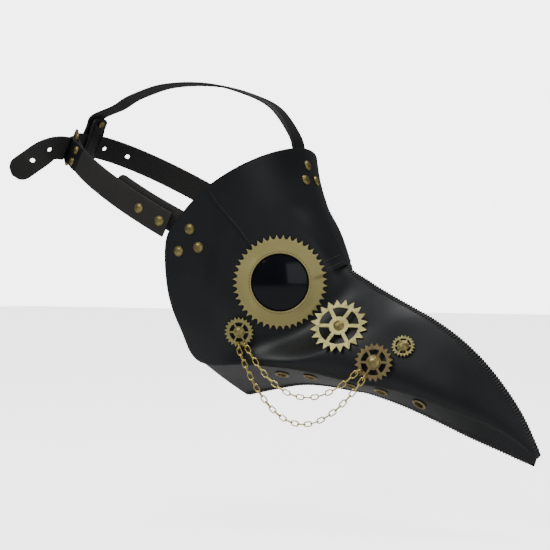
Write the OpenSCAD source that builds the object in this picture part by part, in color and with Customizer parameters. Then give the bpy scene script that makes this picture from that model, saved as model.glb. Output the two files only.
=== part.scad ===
// Leather plague doctor mask with straps, goggle eyes, riveted gears and chains.
// Origin between the wearer's eyes, +X along the beak, +Y to the wearer's left, +Z up.

/* [Mask] */
// Width of the mask across the cheeks
mask_w = 152; // [140:1:184]
// Reach of the beak ahead of the wearer's face
beak_reach = 254; // [205:1:310]
// Thickness of the mask leather
leather_t = 2.2; // [1.8:0.1:2.8]
// Gap left between layers of leather
layer_gap = 0.35; // [0.3:0.05:0.5]

/* [Eyes] */
// Radius of the glass lens
lens_r = 25; // [20:0.5:30]
// Height of the lens dome above its rim
lens_dome = 5; // [4:0.5:7]
// Distance from the lens edge to the roots of the ring's teeth
ring_band = 12.7; // [9:0.1:16]
// Height of the ring's teeth
ring_tooth = 3.8; // [2.5:0.1:5]
// Number of teeth on the ring
ring_teeth = 44; // [30:1:56]
// Thickness of the ring's leather
ring_t = 2; // [1.6:0.1:3]

/* [Straps] */
// Width of the head strap
strap_w = 24; // [18:1:29]
// Thickness of the straps
strap_t = 2.2; // [1.8:0.1:2.6]
// Width of the strap over the crown
crown_w = 20; // [16:1:24]
// Radius of the buckle's wire
buckle_wire_r = 1.6; // [1.3:0.1:1.9]
// Length of the buckle from heel bar to front bar
buckle_len = 20; // [18:0.5:24]

/* [Gears] */
// Radius to the tooth tips of the large gear
large_r = 25; // [20:0.5:26]
// Radius to the tooth tips of the medium gear
medium_r = 16.5; // [13:0.5:17]
// Radius to the tooth tips of the small gear
small_r = 13.3; // [11:0.5:16]
// Radius to the tooth tips of the tiny gear
tiny_r = 10; // [8.5:0.5:11]
// Thickness of the gear plates
gear_t = 1.2; // [1:0.1:1.6]
// Radius of the rivet shanks
shank_r = 1.8; // [1.4:0.1:2.1]
// Running clearance between a gear's bore and its rivet
gear_fit = 0.06; // [0.04:0.01:0.1]

/* [Rivets and eyelets] */
// Radius of the rivet caps
rivet_r = 4.6; // [3.8:0.1:5.4]
// Height of the rivet caps
rivet_h = 2.2; // [1.6:0.1:3]
// Outer radius of the vent eyelets
eyelet_r = 6.4; // [5.4:0.1:7.4]
// Radius of the hole in the vent eyelets
eyelet_bore_r = 3.8; // [2.8:0.1:4.2]

/* [Chains] */
// Radius of the chain wire
link_wire_r = 0.55; // [0.45:0.05:0.65]
// Length of one chain link
link_len = 8.2; // [7.6:0.1:8.8]
// Width of one chain link
link_w = 4.9; // [4.6:0.1:5.4]

/* [Hidden] */

leather = "#17191c";
gold_leather = "#b9a568";
brass = "#b5a56b";
bronze = "#8d7a55";
glass = "#05060c";

// Each rib runs down the right side from the middle line to the panel's edge, as four curve controls
ribs = [
    [[28, 0, 113], [27.5, -55, 111], [-18, -76, 87], [-49, -75, 55]],
    [[35, 0, 88], [34.5, -53, 85], [-17, -76, 41], [-67, -76, 31]],
    [[51.5, 0, 50], [51, -47, 44], [-19, -74, 8], [-66, -75, -14]],
    [[73, 0, 11], [65, -26, 5], [-9, -74, -39], [-55, -70, -49]],
    [[98, 0, -6], [76, -20, -25], [21, -67, -62], [-41, -60, -78]],
    [[120, 0, -18], [100, -28, -35], [45, -60, -72], [12, -58, -79]],
    [[140, 0, -28], [123, -32, -42], [77, -57, -73], [58, -48, -83]],
    [[162, 0, -39], [144, -27, -58], [112, -51, -80], [103, -38, -92]],
    [[188, 0, -56], [173, -23, -73], [150, -38, -91], [146, -30, -99]],
    [[213, 0, -79], [203, -18, -92], [188, -28, -106], [188, -22, -113]],
    [[238, 0, -111], [232, -9, -118], [226, -13, -126], [227, -10, -130]],
    [[256, 0, -146], [255, -3, -147], [253, -3, -149], [252, -2, -150]]];
// Bottom middle line from the throat to the tip
keel = [[-31, 0, -111], [1, 0, -104], [29, 0, -99], [55, 0, -99], [81, 0, -102], [98, 0, -104],
    [131, 0, -113], [162, 0, -124], [193, 0, -136], [222, 0, -146], [250, 0, -156]];
// Lower edge of the forehead panel, as rib number and share of the way down the rib
lap_edge = [[3.1, 0], [3.1, 0.174], [3.05, 0.278], [2.88, 0.413], [2.476, 0.451], [2.057, 0.495],
    [1.514, 0.546], [0.94, 0.621], [0.12, 0.745]];
// Where the side panel starts under the forehead panel, by rib
lap_start = [[0, 0.675], [0.96, 0.545], [2.05, 0.42], [2.6, 0.32], [2.84, 0.208], [2.945, 0.094], [3, 0], [12, 0]];
drawn_w = 152;
drawn_reach = 254;
last_rib = 11;
jaw_rib = 4;
eye_drawn = [31.8, -41.6, -7];
eye_n = [0.545, -0.839, 0] / norm([0.545, -0.839, 0]);
flat_in = 38;
flat_out = 70;
// Share of a rib over which the flat stretch fades towards the middle line
flat_fade = 0.18;
seam_gap = 0.15;

function unit(v) = v / norm(v);
function mix(a, b, t) = a + (b - a) * t;
function clamp(x, lo, hi) = min(max(x, lo), hi);
function smooth(x) = x * x * (3 - 2 * x);
function fitted(p) = [p.x > 0 ? p.x * beak_reach / drawn_reach : p.x, p.y * mask_w / drawn_w, p.z];
// Point on a smooth curve through a list of points
function curve_seg(a, b, c, d, u) = 0.5 * (2 * b + (c - a) * u + (2 * a - 5 * b + 4 * c - d) * u * u
    + (3 * b - a - 3 * c + d) * u * u * u);
function along(list, t) = let (n = len(list) - 1, i = floor(clamp(t, 0, n - 0.0001)), b = list[i], c = list[i + 1])
    curve_seg(i > 0 ? list[i - 1] : 2 * b - c, b, c, i + 2 <= n ? list[i + 2] : 2 * c - b, clamp(t, 0, n) - i);
function control(k, s) = along([for (r = ribs) r[k]], s);
function bare_skin(s, v) = pow(1 - v, 3) * control(0, s) + 3 * v * pow(1 - v, 2) * control(1, s)
    + 3 * v * v * (1 - v) * control(2, s) + v * v * v * control(3, s);
eye = fitted(eye_drawn);
// Outer face of the right side, pressed flat round the eye so that the ring lies on it
function skin(s, v) = let (p = fitted(bare_skin(s, v)), d = (p - eye) * eye_n, r = norm(p - eye - d * eye_n),
    w = smooth(clamp((flat_out - r) / (flat_out - flat_in), 0, 1)) * smooth(clamp(v / flat_fade, 0, 1)))
    p - eye_n * d * w;
function skin_n(s, v, es = 0.02, ev = 0.01) = unit(cross(
    skin(s, min(v + ev, 1)) - skin(s, max(v - ev, 0)),
    skin(min(s + es, last_rib), v) - skin(max(s - es, 0), v)));
function on_right(p) = [p.x, min(p.y, -seam_gap), p.z];

// Closed wall between two grids of points that match row for row
module wall(outer, inner) {
    rows = len(outer);
    cols = len(outer[0]);
    count = rows * cols;
    quads = concat(
        [for (i = [0:rows - 2], j = [0:cols - 2])
            [i * cols + j, i * cols + j + 1, (i + 1) * cols + j + 1, (i + 1) * cols + j]],
        [for (i = [0:rows - 2], j = [0:cols - 2])
            [count + i * cols + j, count + (i + 1) * cols + j, count + (i + 1) * cols + j + 1,
                count + i * cols + j + 1]],
        [for (i = [0:rows - 2]) [i * cols, (i + 1) * cols, count + (i + 1) * cols, count + i * cols]],
        [for (i = [0:rows - 2]) let (a = i * cols + cols - 1)
            [a + cols, a, count + a, count + a + cols]],
        [for (j = [0:cols - 2]) [j + 1, j, count + j, count + j + 1]],
        [for (j = [0:cols - 2]) let (a = (rows - 1) * cols + j) [a, a + 1, count + a + 1, count + a]]);
    points = concat([for (r = outer) each r], [for (r = inner) each r]);
    polyhedron(points, [for (q = quads) each [[q[0], q[2], q[1]], [q[0], q[3], q[2]]]]);
}

// Strap swept along points: w gives each point's width direction and half_w its half width
module ribbon(path, w, half_w, t) {
    n = len(path);
    function way(i) = unit(path[min(i + 1, n - 1)] - path[max(i - 1, 0)]);
    function side(i) = unit(cross(way(i), w[i]));
    outer = [for (i = [0:n - 1]) [for (k = [-1, 0, 1]) path[i] + w[i] * k * half_w[i] + side(i) * t / 2]];
    inner = [for (i = [0:n - 1]) [for (k = [-1, 0, 1]) path[i] + w[i] * k * half_w[i] - side(i) * t / 2]];
    wall(inner, outer);
}

// Places children on a seat, with +Z along its normal
module seated(seat, lift = 0) {
    u = unit(cross([0, 0, 1], seat[1]));
    w = cross(seat[1], u);
    p = seat[0] + seat[1] * lift;
    multmatrix([[u.x, w.x, seat[1].x, p.x], [u.y, w.y, seat[1].y, p.y], [u.z, w.z, seat[1].z, p.z]]) children();
}

module left() {
    mirror([0, 1, 0]) children();
}

// ---- Leather panels ----
side_rows = [for (i = [0:44]) i * last_rib / 44];
side_cols = 16;
function side_v(s, j) = let (v0 = max(0, lookup(s, lap_start))) v0 + (1 - v0) * j / side_cols;
module side_panel() {
    outer = [for (s = side_rows) [for (j = [0:side_cols]) on_right(skin(s, side_v(s, j)))]];
    inner = [for (s = side_rows) [for (j = [0:side_cols]) let (v = side_v(s, j))
        on_right(skin(s, v) - skin_n(s, v, 0.15, 0.04) * leather_t)]];
    color(leather) difference() {
        wall(outer, inner);
        seated([eye, eye_n], -20) cylinder(r = lens_r + 0.5, h = 40, $fn = 64);
    }
}

brow_cols = 18;
brow_rows = 16;
function brow_sv(a, b) = mix([0, b * lap_edge[8][1]], along(lap_edge, b * 8), a);
function brow_pt(a, b, lift) = let (q = brow_sv(a, abs(b)), n = skin_n(q[0], q[1], 0.15, 0.04),
    m = abs(b) < 0.001 ? unit([n.x, 0, n.z]) : n, p = skin(q[0], q[1]) + m * lift) b < 0 ? [p.x, -p.y, p.z] : p;
module forehead_panel() {
    spans = [for (j = [-brow_cols:brow_cols]) j / brow_cols];
    outer = [for (i = [0:brow_rows]) [for (b = spans) brow_pt(i / brow_rows, -b, layer_gap + leather_t)]];
    inner = [for (i = [0:brow_rows]) [for (b = spans) brow_pt(i / brow_rows, -b, layer_gap)]];
    color(leather) difference() {
        wall(inner, outer);
        seated([eye, eye_n], -20) cylinder(r = lens_r + 0.5, h = 40, $fn = 64);
        left() seated([eye, eye_n], -20) cylinder(r = lens_r + 0.5, h = 40, $fn = 64);
    }
}

chin_rows = [for (i = [0:36]) jaw_rib + i * (last_rib - jaw_rib) / 36];
chin_cols = 6;
tuck = leather_t + layer_gap;
function keel_pt(s) = fitted(along(keel, (s - jaw_rib) / (last_rib - jaw_rib) * (len(keel) - 1)));
function chin(s, w) = let (g = skin(s, 1) - skin_n(s, 1, 0.15, 0.04) * tuck, k = keel_pt(s),
    m = (g + k) / 2 + [0, 0, -2]) on_right(pow(1 - w, 2) * g + 2 * w * (1 - w) * m + w * w * k);
function chin_n(s, w) = unit(cross(chin(s, min(w + 0.1, 1)) - chin(s, max(w - 0.1, 0)),
    chin(min(s + 0.2, last_rib), w) - chin(max(s - 0.2, jaw_rib), w)));
vent_ribs = [5.35, 5.98, 6.87, 7.63, 8.4];
vent_share = 0.4;
module chin_panel() {
    outer = [for (s = chin_rows) [for (j = [0:chin_cols]) chin(s, j / chin_cols)]];
    inner = [for (s = chin_rows) [for (j = [0:chin_cols]) let (w = j / chin_cols)
        on_right(chin(s, w) - chin_n(s, w) * leather_t)]];
    color(leather) difference() {
        wall(outer, inner);
        for (s = vent_ribs) seated([chin(s, vent_share), chin_n(s, vent_share)], -10)
            cylinder(r = eyelet_bore_r + 1, h = 20, $fn = 32);
    }
}

module vent_eyelets() {
    color(brass) for (s = vent_ribs) seated([chin(s, vent_share), chin_n(s, vent_share)])
        rotate_extrude($fn = 48) polygon([[eyelet_bore_r, -leather_t - 0.8], [eyelet_bore_r + 0.85, -leather_t - 0.8],
            [eyelet_bore_r + 0.85, 0.5], [eyelet_r, 0.5], [eyelet_r - 0.6, 1.3], [eyelet_bore_r + 0.8, 1.6],
            [eyelet_bore_r, 1.1]]);
}

// ---- Eyes ----
ring_root = lens_r + ring_band;
ring_lift = 2 * layer_gap + leather_t;
module eye_ring() {
    color(gold_leather) seated([eye, eye_n], ring_lift) linear_extrude(ring_t) difference() {
        polygon([for (i = [0:2 * ring_teeth - 1]) let (r = ring_root + (i % 2) * ring_tooth, a = i * 180 / ring_teeth)
            r * [cos(a), sin(a)]]);
        circle(r = lens_r + 0.3, $fn = 96);
    }
}

flange = 4;
module lens() {
    dome_r = (lens_r * lens_r + lens_dome * lens_dome) / (2 * lens_dome);
    arc = asin(lens_r / dome_r);
    rim = ring_lift - 0.5;
    color(glass) seated([eye, eye_n]) rotate_extrude($fn = 96) polygon(concat(
        [[0, -leather_t - 2.6], [lens_r + flange, -leather_t - 2.6], [lens_r + flange, -leather_t - 1.2],
            [lens_r, -leather_t - 1.2]],
        [for (k = [0:10]) let (a = arc * (1 - k / 10)) [dome_r * sin(a), rim + dome_r * (cos(a) - cos(arc))]]));
}

module lens_backing() {
    color(leather) seated([eye, eye_n], -2 * leather_t - 2.8) difference() {
        cylinder(r = lens_r + 9, h = leather_t, $fn = 96);
        translate([0, 0, -1]) cylinder(r = lens_r - 2, h = leather_t + 2, $fn = 96);
    }
}

// ---- Head straps ----
band_x = -97;
band_a = 125;
band_b = 80 * mask_w / drawn_w;
band_z = 9;
band_k = 0.54;
band_w = unit([band_k, 0, 1]);
function band(a, off = 0) = let (x = band_x - (band_a + off) * cos(a)) [x, -(band_b + off) * sin(a), band_z - band_k * x];
function rounded(d, half) = d >= half ? half : max(0.4, sqrt(half * half - (half - d) * (half - d)));
half_strap = strap_w / 2;
flap_a = 105;
under = -strap_t - 1.1;
anchor_from = 117;
anchor_to = 75;
// How far the anchor strap shows above the band
anchor_up = 6;
function step_len(i) = i * 100 * 3.14159 / 180;
function anchor_off(a) = under - 1.4 * smooth(clamp((a - 93) / 14, 0, 1));
module anchor_strap() {
    turns = [for (a = [anchor_from:-2:anchor_to]) a];
    color(leather) ribbon([for (a = turns) band(a, anchor_off(a)) + band_w * anchor_up], [for (a = turns) band_w],
        [for (a = turns) rounded(min(step_len(anchor_from - a), step_len(a - anchor_to)) + 0.6, half_strap - 0.5)], strap_t);
}

buckle_a = 31;
fold_r = buckle_wire_r + 0.3 + strap_t / 2;
ex = unit(band(buckle_a + 1) - band(buckle_a - 1));
en = unit(cross(ex, band_w));
bar = band(buckle_a) + en * fold_r;
function local(x, z, y = 0) = bar + ex * x + en * z + band_w * y;
module at_buckle() {
    multmatrix([[ex.x, band_w.x, en.x, bar.x], [ex.y, band_w.y, en.y, bar.y], [ex.z, band_w.z, en.z, bar.z]]) children();
}
slot_w = 5;
module buckle_strap() {
    path = concat([for (a = [flap_a:-3:buckle_a + 1]) band(a)],
        [for (q = [-90:-30:-270]) local(fold_r * cos(q), fold_r * sin(q))],
        [local(5, fold_r - 0.5), local(9, fold_r - 2.1), local(13, fold_r - 4), local(18, fold_r - 5.2),
            local(24, fold_r - 7.4), local(28, fold_r - 9.4)]);
    color(leather) difference() {
        ribbon(path, [for (p = path) band_w], [for (p = path) half_strap], strap_t);
        at_buckle() translate([-fold_r - strap_t, -slot_w / 2, -fold_r - strap_t])
            cube([fold_r + strap_t + 4, slot_w, 2 * (fold_r + strap_t)]);
    }
}

clear_z = fold_r + strap_t + 0.3;
// The loose tail leaves the buckle outwards, then droops back and down
tail_len = 63;
tail_steps = 13;
tail_down = unit([-0.8, -0.4, -0.6]);
function tail_way(i) = unit(mix(unit(ex + en * 1.2), tail_down, smooth(clamp(i / 6, 0, 1))));
function tail_pt(i) = i == 0 ? local(3, clear_z + 0.8) : tail_pt(i - 1) + tail_way(i - 1) * tail_len / tail_steps;
hole_r = 2.3;
prong_x = -buckle_len / 2;
module billet_strap() {
    low = -buckle_wire_r - strap_t / 2 - 0.5;
    lead = [local(-buckle_len - 9, low - 2.2), local(-buckle_len - 2, low), local(-buckle_len + 3, low + 1),
        local(prong_x, low + 0.35 * (clear_z - low) + 1), local(prong_x + 4, clear_z - 2.3)];
    tail = [for (i = [0:tail_steps]) tail_pt(i)];
    path = concat([for (a = [-flap_a:3:2]) band(a)], lead, [local(-0.5, clear_z)], tail);
    last = len(path) - 1;
    wide = [for (i = [0:last]) let (d = unit(path[min(i + 1, last)] - path[max(i - 1, 0)])) unit(band_w - d * (band_w * d))];
    function from_end(i) = i >= last ? 0 : norm(path[i + 1] - path[i]) + from_end(i + 1);
    color(leather) difference() {
        ribbon(path, wide, [for (i = [0:last]) rounded(from_end(i) + 0.6, half_strap)], strap_t);
        at_buckle() for (x = [prong_x - 3:1.5:prong_x + 4.5]) translate([x, 0, -8]) cylinder(r = hole_r, h = 22, $fn = 24);
        for (i = [4, 8]) seated([tail[i], unit(cross(tail_way(i), wide[last - tail_steps + i]))], -5)
            cylinder(r = hole_r, h = 10, $fn = 24);
        for (a = [-14, -30]) seated([band(a), unit(cross(band(a + 1) - band(a - 1), band_w))], -5)
            cylinder(r = hole_r, h = 10, $fn = 24);
    }
}

// The crown strap lies flat behind the curved panel, so it sits this far behind its inner face
crown_in = 1.7;
crown_start = brow_pt(0.36, 0, -strap_t / 2 - crown_in);
crown_edge = brow_pt(0, 0, -strap_t / 2 - crown_in);
crown = [[23, 0, 121], [18, 0, 130], [11, 0, 140], [2, 0, 150], [-10, 0, 158], [-26, 0, 165], [-46, 0, 172],
    [-66, 0, 177], [-88, 0, 180], [-110, 0, 181], [-130, 0, 180], [-150, 0, 176], [-168, 0, 171], [-184, 0, 164]];
loop_out = strap_t + 1.5;
function round_band(w, o) = band(0) + band_w * w + [-band_w.z, 0, band_w.x] * o;
module crown_strap() {
    lower = half_strap + 0.6 + strap_t / 2;
    path = concat([crown_start, mix(crown_start, crown_edge, 0.5), crown_edge], crown,
        [round_band(30, loop_out - 1), round_band(18, loop_out), round_band(0, loop_out), round_band(-lower + 1, loop_out)],
        [for (q = [30:30:150]) round_band(-lower + 1 - loop_out * sin(q), loop_out * cos(q))],
        [round_band(-lower + 1, -loop_out), round_band(0, -loop_out), round_band(14, -loop_out),
            round_band(20, -loop_out + 1), round_band(30, -loop_out + 1.2)]);
    color(leather) ribbon(path, [for (p = path) [0, 1, 0]], [for (p = path) crown_w / 2], strap_t);
}

// ---- Buckle ----
module bead_chain(points, r) {
    for (i = [0:len(points) - 2]) let (d = points[i + 1] - points[i]) {
        translate(points[i]) sphere(r = r, $fn = 24);
        translate(points[i]) rotate([0, acos(d.z / norm(d)), atan2(d.y, d.x)]) cylinder(r = r, h = norm(d), $fn = 24);
    }
    translate(points[len(points) - 1]) sphere(r = r, $fn = 24);
}
module buckle_frame() {
    half = half_strap + 1.5 + buckle_wire_r;
    color(brass) at_buckle() bead_chain([[0, -half, 0], [-buckle_len, -half, 0], [-buckle_len, half, 0], [0, half, 0],
        [0, -half, 0]], buckle_wire_r);
}
prong_r = 1.1;
prong_loop = buckle_wire_r + 1.5;
module buckle_prong() {
    rise = buckle_wire_r + prong_r + 0.1;
    color(brass) at_buckle() difference() {
        union() {
            rotate([90, 0, 0]) translate([0, 0, -2]) cylinder(r = prong_loop, h = 4, $fn = 48);
            rotate([0, -90 + atan(rise / buckle_len), 0]) cylinder(r = prong_r, h = buckle_len + 1.5, $fn = 24);
        }
        rotate([90, 0, 0]) translate([0, 0, -4]) cylinder(r = buckle_wire_r + 0.06, h = 8, $fn = 48);
    }
}

// ---- Rivets ----
// Cap above the leather, shank down through depth and a washer at the back
module rivet(depth, cap_r = rivet_r) {
    rotate_extrude($fn = 48) polygon([[0, -depth - 1.2], [cap_r * 0.45, -depth - 1.2], [cap_r * 0.7, -depth - 0.7],
        [cap_r * 0.7, -depth], [shank_r, -depth], [shank_r, 0], [cap_r, 0], [cap_r, 0.55], [cap_r * 0.86, 0.8],
        [cap_r * 0.82, 0.75], [cap_r * 0.7, rivet_h * 0.62], [cap_r * 0.4, rivet_h * 0.9], [0, rivet_h]]);
}
brow_spots = [[0.22, 0], [0.36, 0.055], [0.36, -0.055]];
function brow_seat(a, b) = [brow_pt(a, b, layer_gap + leather_t),
    unit(brow_pt(a, b, 10) - brow_pt(a, b, 0))];
module forehead_rivets() {
    color(bronze) for (q = brow_spots) seated(brow_seat(q[0], q[1])) rivet(leather_t + layer_gap + strap_t + crown_in);
}
flap_spots = [[0.955, 0.835], [1.357, 0.902], [1.466, 0.778]];
module flap_rivets() {
    color(bronze) for (q = flap_spots) seated([skin(q[0], q[1]), skin_n(q[0], q[1], 0.2, 0.05)])
        rivet(leather_t + strap_t + 1.6);
}
strap_spots = [101.5, 91.5];
module strap_rivets() {
    color(bronze) for (a = strap_spots) seated([band(a, strap_t / 2), unit(cross(band(a + 1) - band(a - 1), band_w))])
        rivet(2 * strap_t + 1.2);
}
module buckle_rivets() {
    color(bronze) for (y = [-6, 6]) at_buckle() translate([19, y, fold_r - 4.4]) rotate([0, 22, 0]) rivet(2 * strap_t + 0.8, 4);
}
module crown_rivets() {
    color(bronze) seated([round_band(25, loop_out + strap_t / 2 - 0.6), [-band_w.z, 0, band_w.x]]) rivet(loop_out * 2 + 1.6);
}

// ---- Gears ----
// Plate with pointed teeth and six spokes; ring_at lists the angles of the small holes that chains hang from
ring_hole_r = 0.8;
hole_in = 1.3;
module gear(tip, teeth, depth, rim_w, hub, spoke_w, ring_at = []) {
    root = tip - depth;
    linear_extrude(gear_t) difference() {
        polygon([for (i = [0:2 * teeth - 1]) let (r = i % 2 == 0 ? root : tip, a = i * 180 / teeth) r * [cos(a), sin(a)]]);
        difference() {
            circle(r = root - rim_w, $fn = 64);
            circle(r = hub, $fn = 48);
            for (k = [0:2]) rotate(k * 60) square([2 * tip, spoke_w], center = true);
        }
        circle(r = bore_r, $fn = 48);
        for (a = ring_at) translate((root - hole_in) * [sin(a), -cos(a)]) circle(r = ring_hole_r, $fn = 24);
    }
}
// Seat normals are taken over the width of each gear so that the plate lies along the leather
large_lean = [0.14, 0, -0.15];
large_seat = [skin(5.222, 0.406), unit(skin_n(5.222, 0.406, 1.2, 0.34) + large_lean)];
medium_seat = [skin(7.041, 0.604), skin_n(7.041, 0.604, 0.8, 0.25)];
tiny_seat = [skin(7.132, 0.343), skin_n(7.132, 0.343, 0.6, 0.2)];
small_seat = [skin(3.554, 0.706), skin_n(3.554, 0.706, 0.4, 0.1)];
large_lift = 5.6;
medium_lift = 3.2;
tiny_lift = 1.4;
small_lift = 3;
medium_tooth = 3.2;
small_tooth = 2.4;
// Angles from straight down of the rings: outer chain first, then inner chain
small_rings = [0, 29];
medium_rings = [-28, -56];
bore_r = shank_r + gear_fit;
module large_gear() {
    color(brass) seated(large_seat, large_lift) gear(large_r, 20, 5.6, 2.1, 8.6, 3.2);
}
module medium_gear(rings = []) {
    color(bronze) seated(medium_seat, medium_lift) gear(medium_r, 20, medium_tooth, 2.3, 6.4, 2, rings);
}
module small_gear(rings = []) {
    color(brass) seated(small_seat, small_lift) gear(small_r, 22, small_tooth, 2.3, 5, 1.4, rings);
}
module tiny_gear() {
    color(brass) seated(tiny_seat, tiny_lift) gear(tiny_r, 20, 2, 1.2, 5, 1.3);
}
// Rivet that carries a gear: collar on the leather, shank through the bore, cap above the plate
module gear_rivet(lift, cap_r) {
    play = 0.3;
    rotate_extrude($fn = 48) polygon([[0, -leather_t - 1.4], [cap_r * 0.7, -leather_t - 1.4],
        [cap_r * 0.7, -leather_t - 0.1], [shank_r, -leather_t - 0.1], [shank_r, -0.2], [shank_r + 2, -0.2],
        [shank_r + 2, lift - play], [shank_r, lift - play], [shank_r, lift + gear_t + play], [cap_r, lift + gear_t + play],
        [cap_r, lift + gear_t + play + 0.5], [cap_r * 0.85, lift + gear_t + play + 0.8],
        [cap_r * 0.6, lift + gear_t + play + 1.6], [0, lift + gear_t + play + 2]]);
}
module large_gear_rivet() {
    color(bronze) seated(large_seat) gear_rivet(large_lift, rivet_r);
}
module medium_gear_rivet() {
    color(bronze) seated(medium_seat) gear_rivet(medium_lift, rivet_r * 1.1);
}
module small_gear_rivet() {
    color(bronze) seated(small_seat) gear_rivet(small_lift, rivet_r * 0.87);
}
module tiny_gear_rivet() {
    color(bronze) seated(tiny_seat) gear_rivet(tiny_lift, rivet_r);
}

// ---- Chains ----
ring_wire_r = 0.5;
jump_r = 3;
// Angle by which the rings stand off the gears
jump_tilt = 25;
function on_plate(seat, lift, r, a, up = 0) = let (n = seat[1], u = unit(cross([0, 0, 1], n)), w = cross(n, u))
    seat[0] + n * (lift + gear_t / 2 + up) + u * r * sin(a) - w * r * cos(a);
function small_pt(r, a, up = 0) = on_plate(small_seat, small_lift, small_hole + r, a, up);
function medium_pt(r, a, up = 0) = on_plate(medium_seat, medium_lift, medium_hole + r, a, up);
small_hole = small_r - small_tooth - hole_in;
medium_hole = medium_r - medium_tooth - hole_in;
reach_out = jump_r * cos(jump_tilt);
reach_up = jump_r * sin(jump_tilt);
// Ring round its centre, lying in the plane of two directions
module jump_ring(centre, out, n) {
    z = unit(cross(out, n));
    multmatrix([[out.x, n.x, z.x, centre.x], [out.y, n.y, z.y, centre.y], [out.z, n.z, z.z, centre.z]])
        rotate_extrude($fn = 48) translate([jump_r, 0]) circle(r = ring_wire_r, $fn = 24);
}
module chain_rings() {
    color(gold_leather) {
        for (a = small_rings)
            jump_ring(small_pt(reach_out, a, reach_up), unit(small_pt(1, a) - small_pt(0, a)), small_seat[1]);
        for (a = medium_rings)
            jump_ring(medium_pt(reach_out, a, reach_up), unit(medium_pt(1, a) - medium_pt(0, a)), medium_seat[1]);
    }
}
// One link lying along X in the XY plane
link_c = (link_len - link_w) / 2;
link_mid_r = link_w / 2 - link_wire_r;
module link() {
    for (k = [0, 1]) rotate(k * 180) translate([link_c, 0, 0]) rotate(-90)
        rotate_extrude(angle = 180, $fn = 32) translate([link_mid_r, 0]) circle(r = link_wire_r, $fn = 16);
    for (y = [-1, 1]) translate([-link_c, y * link_mid_r, 0]) rotate([0, 90, 0])
        cylinder(r = link_wire_r, h = 2 * link_c, $fn = 16);
}
samples = 60;
// Angle at which the chains rest against the cheek
chain_lean = 9;
// Links hang along a sagging curve from a to b; each one is turned a quarter against the last
module chain(a, b, sag, flat_n, count) {
    function pt(t) = mix(a, b, t) + [0, -sin(chain_lean), -cos(chain_lean)] * 4 * sag * t * (1 - t);
    function run(i, sum) = i > samples ? []
        : let (s = sum + (i == 0 ? 0 : norm(pt(i / samples) - pt((i - 1) / samples)))) concat([[s, i / samples]], run(i + 1, s));
    table = run(0, 0);
    pitch = (table[samples][0] - 2 * link_c) / (count - 1);
    for (k = [0:count - 1]) let (s = link_c + k * pitch, c = pt(lookup(s, table)),
        x = unit(pt(lookup(s + link_c, table)) - pt(lookup(s - link_c, table))),
        n = unit(flat_n - x * (flat_n * x)), z = k % 2 == 0 ? n : cross(x, n), y = cross(z, x))
        multmatrix([[x.x, y.x, z.x, c.x], [x.y, y.y, z.y, c.y], [x.z, y.z, z.z, c.z]]) link();
}
chain_n = unit(small_seat[1] + medium_seat[1]);
function small_hook(i) = small_pt(2 * reach_out, small_rings[i], 2 * reach_up);
function medium_hook(i) = medium_pt(2 * reach_out, medium_rings[i], 2 * reach_up);
outer_sag = 50;
inner_sag = 31;
outer_links = 27;
inner_links = 19;
module outer_chain() {
    color(gold_leather) chain(small_hook(0), medium_hook(0), outer_sag, chain_n, outer_links);
}
module inner_chain() {
    color(gold_leather) chain(small_hook(1), medium_hook(1), inner_sag, chain_n, inner_links);
}

forehead_panel();
side_panel();  // side_panel_right
left() side_panel();  // side_panel_left
chin_panel();  // chin_panel_right
left() chin_panel();  // chin_panel_left
eye_ring();  // eye_ring_right
left() eye_ring();  // eye_ring_left
lens();  // lens_right
left() lens();  // lens_left
lens_backing();  // lens_backing_right
left() lens_backing();  // lens_backing_left
anchor_strap();  // anchor_strap_right
left() anchor_strap();  // anchor_strap_left
buckle_strap();
billet_strap();
crown_strap();
buckle_frame();
buckle_prong();
forehead_rivets();
flap_rivets();  // flap_rivets_right
left() flap_rivets();  // flap_rivets_left
strap_rivets();  // strap_rivets_right
left() strap_rivets();  // strap_rivets_left
buckle_rivets();
crown_rivets();
vent_eyelets();  // vent_eyelets_right
left() vent_eyelets();  // vent_eyelets_left
large_gear();  // large_gear_right
left() large_gear();  // large_gear_left
medium_gear(medium_rings);  // medium_gear_right
left() medium_gear();  // medium_gear_left
small_gear(small_rings);  // small_gear_right
left() small_gear();  // small_gear_left
tiny_gear();  // tiny_gear_right
left() tiny_gear();  // tiny_gear_left
large_gear_rivet();  // large_gear_rivet_right
left() large_gear_rivet();  // large_gear_rivet_left
medium_gear_rivet();  // medium_gear_rivet_right
left() medium_gear_rivet();  // medium_gear_rivet_left
small_gear_rivet();  // small_gear_rivet_right
left() small_gear_rivet();  // small_gear_rivet_left
tiny_gear_rivet();  // tiny_gear_rivet_right
left() tiny_gear_rivet();  // tiny_gear_rivet_left
chain_rings();  // chain_rings_right
outer_chain();  // outer_chain_right
inner_chain();  // inner_chain_right
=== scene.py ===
import math
import bpy
import bmesh
import numpy as np
from mathutils import Vector, Matrix


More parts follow.
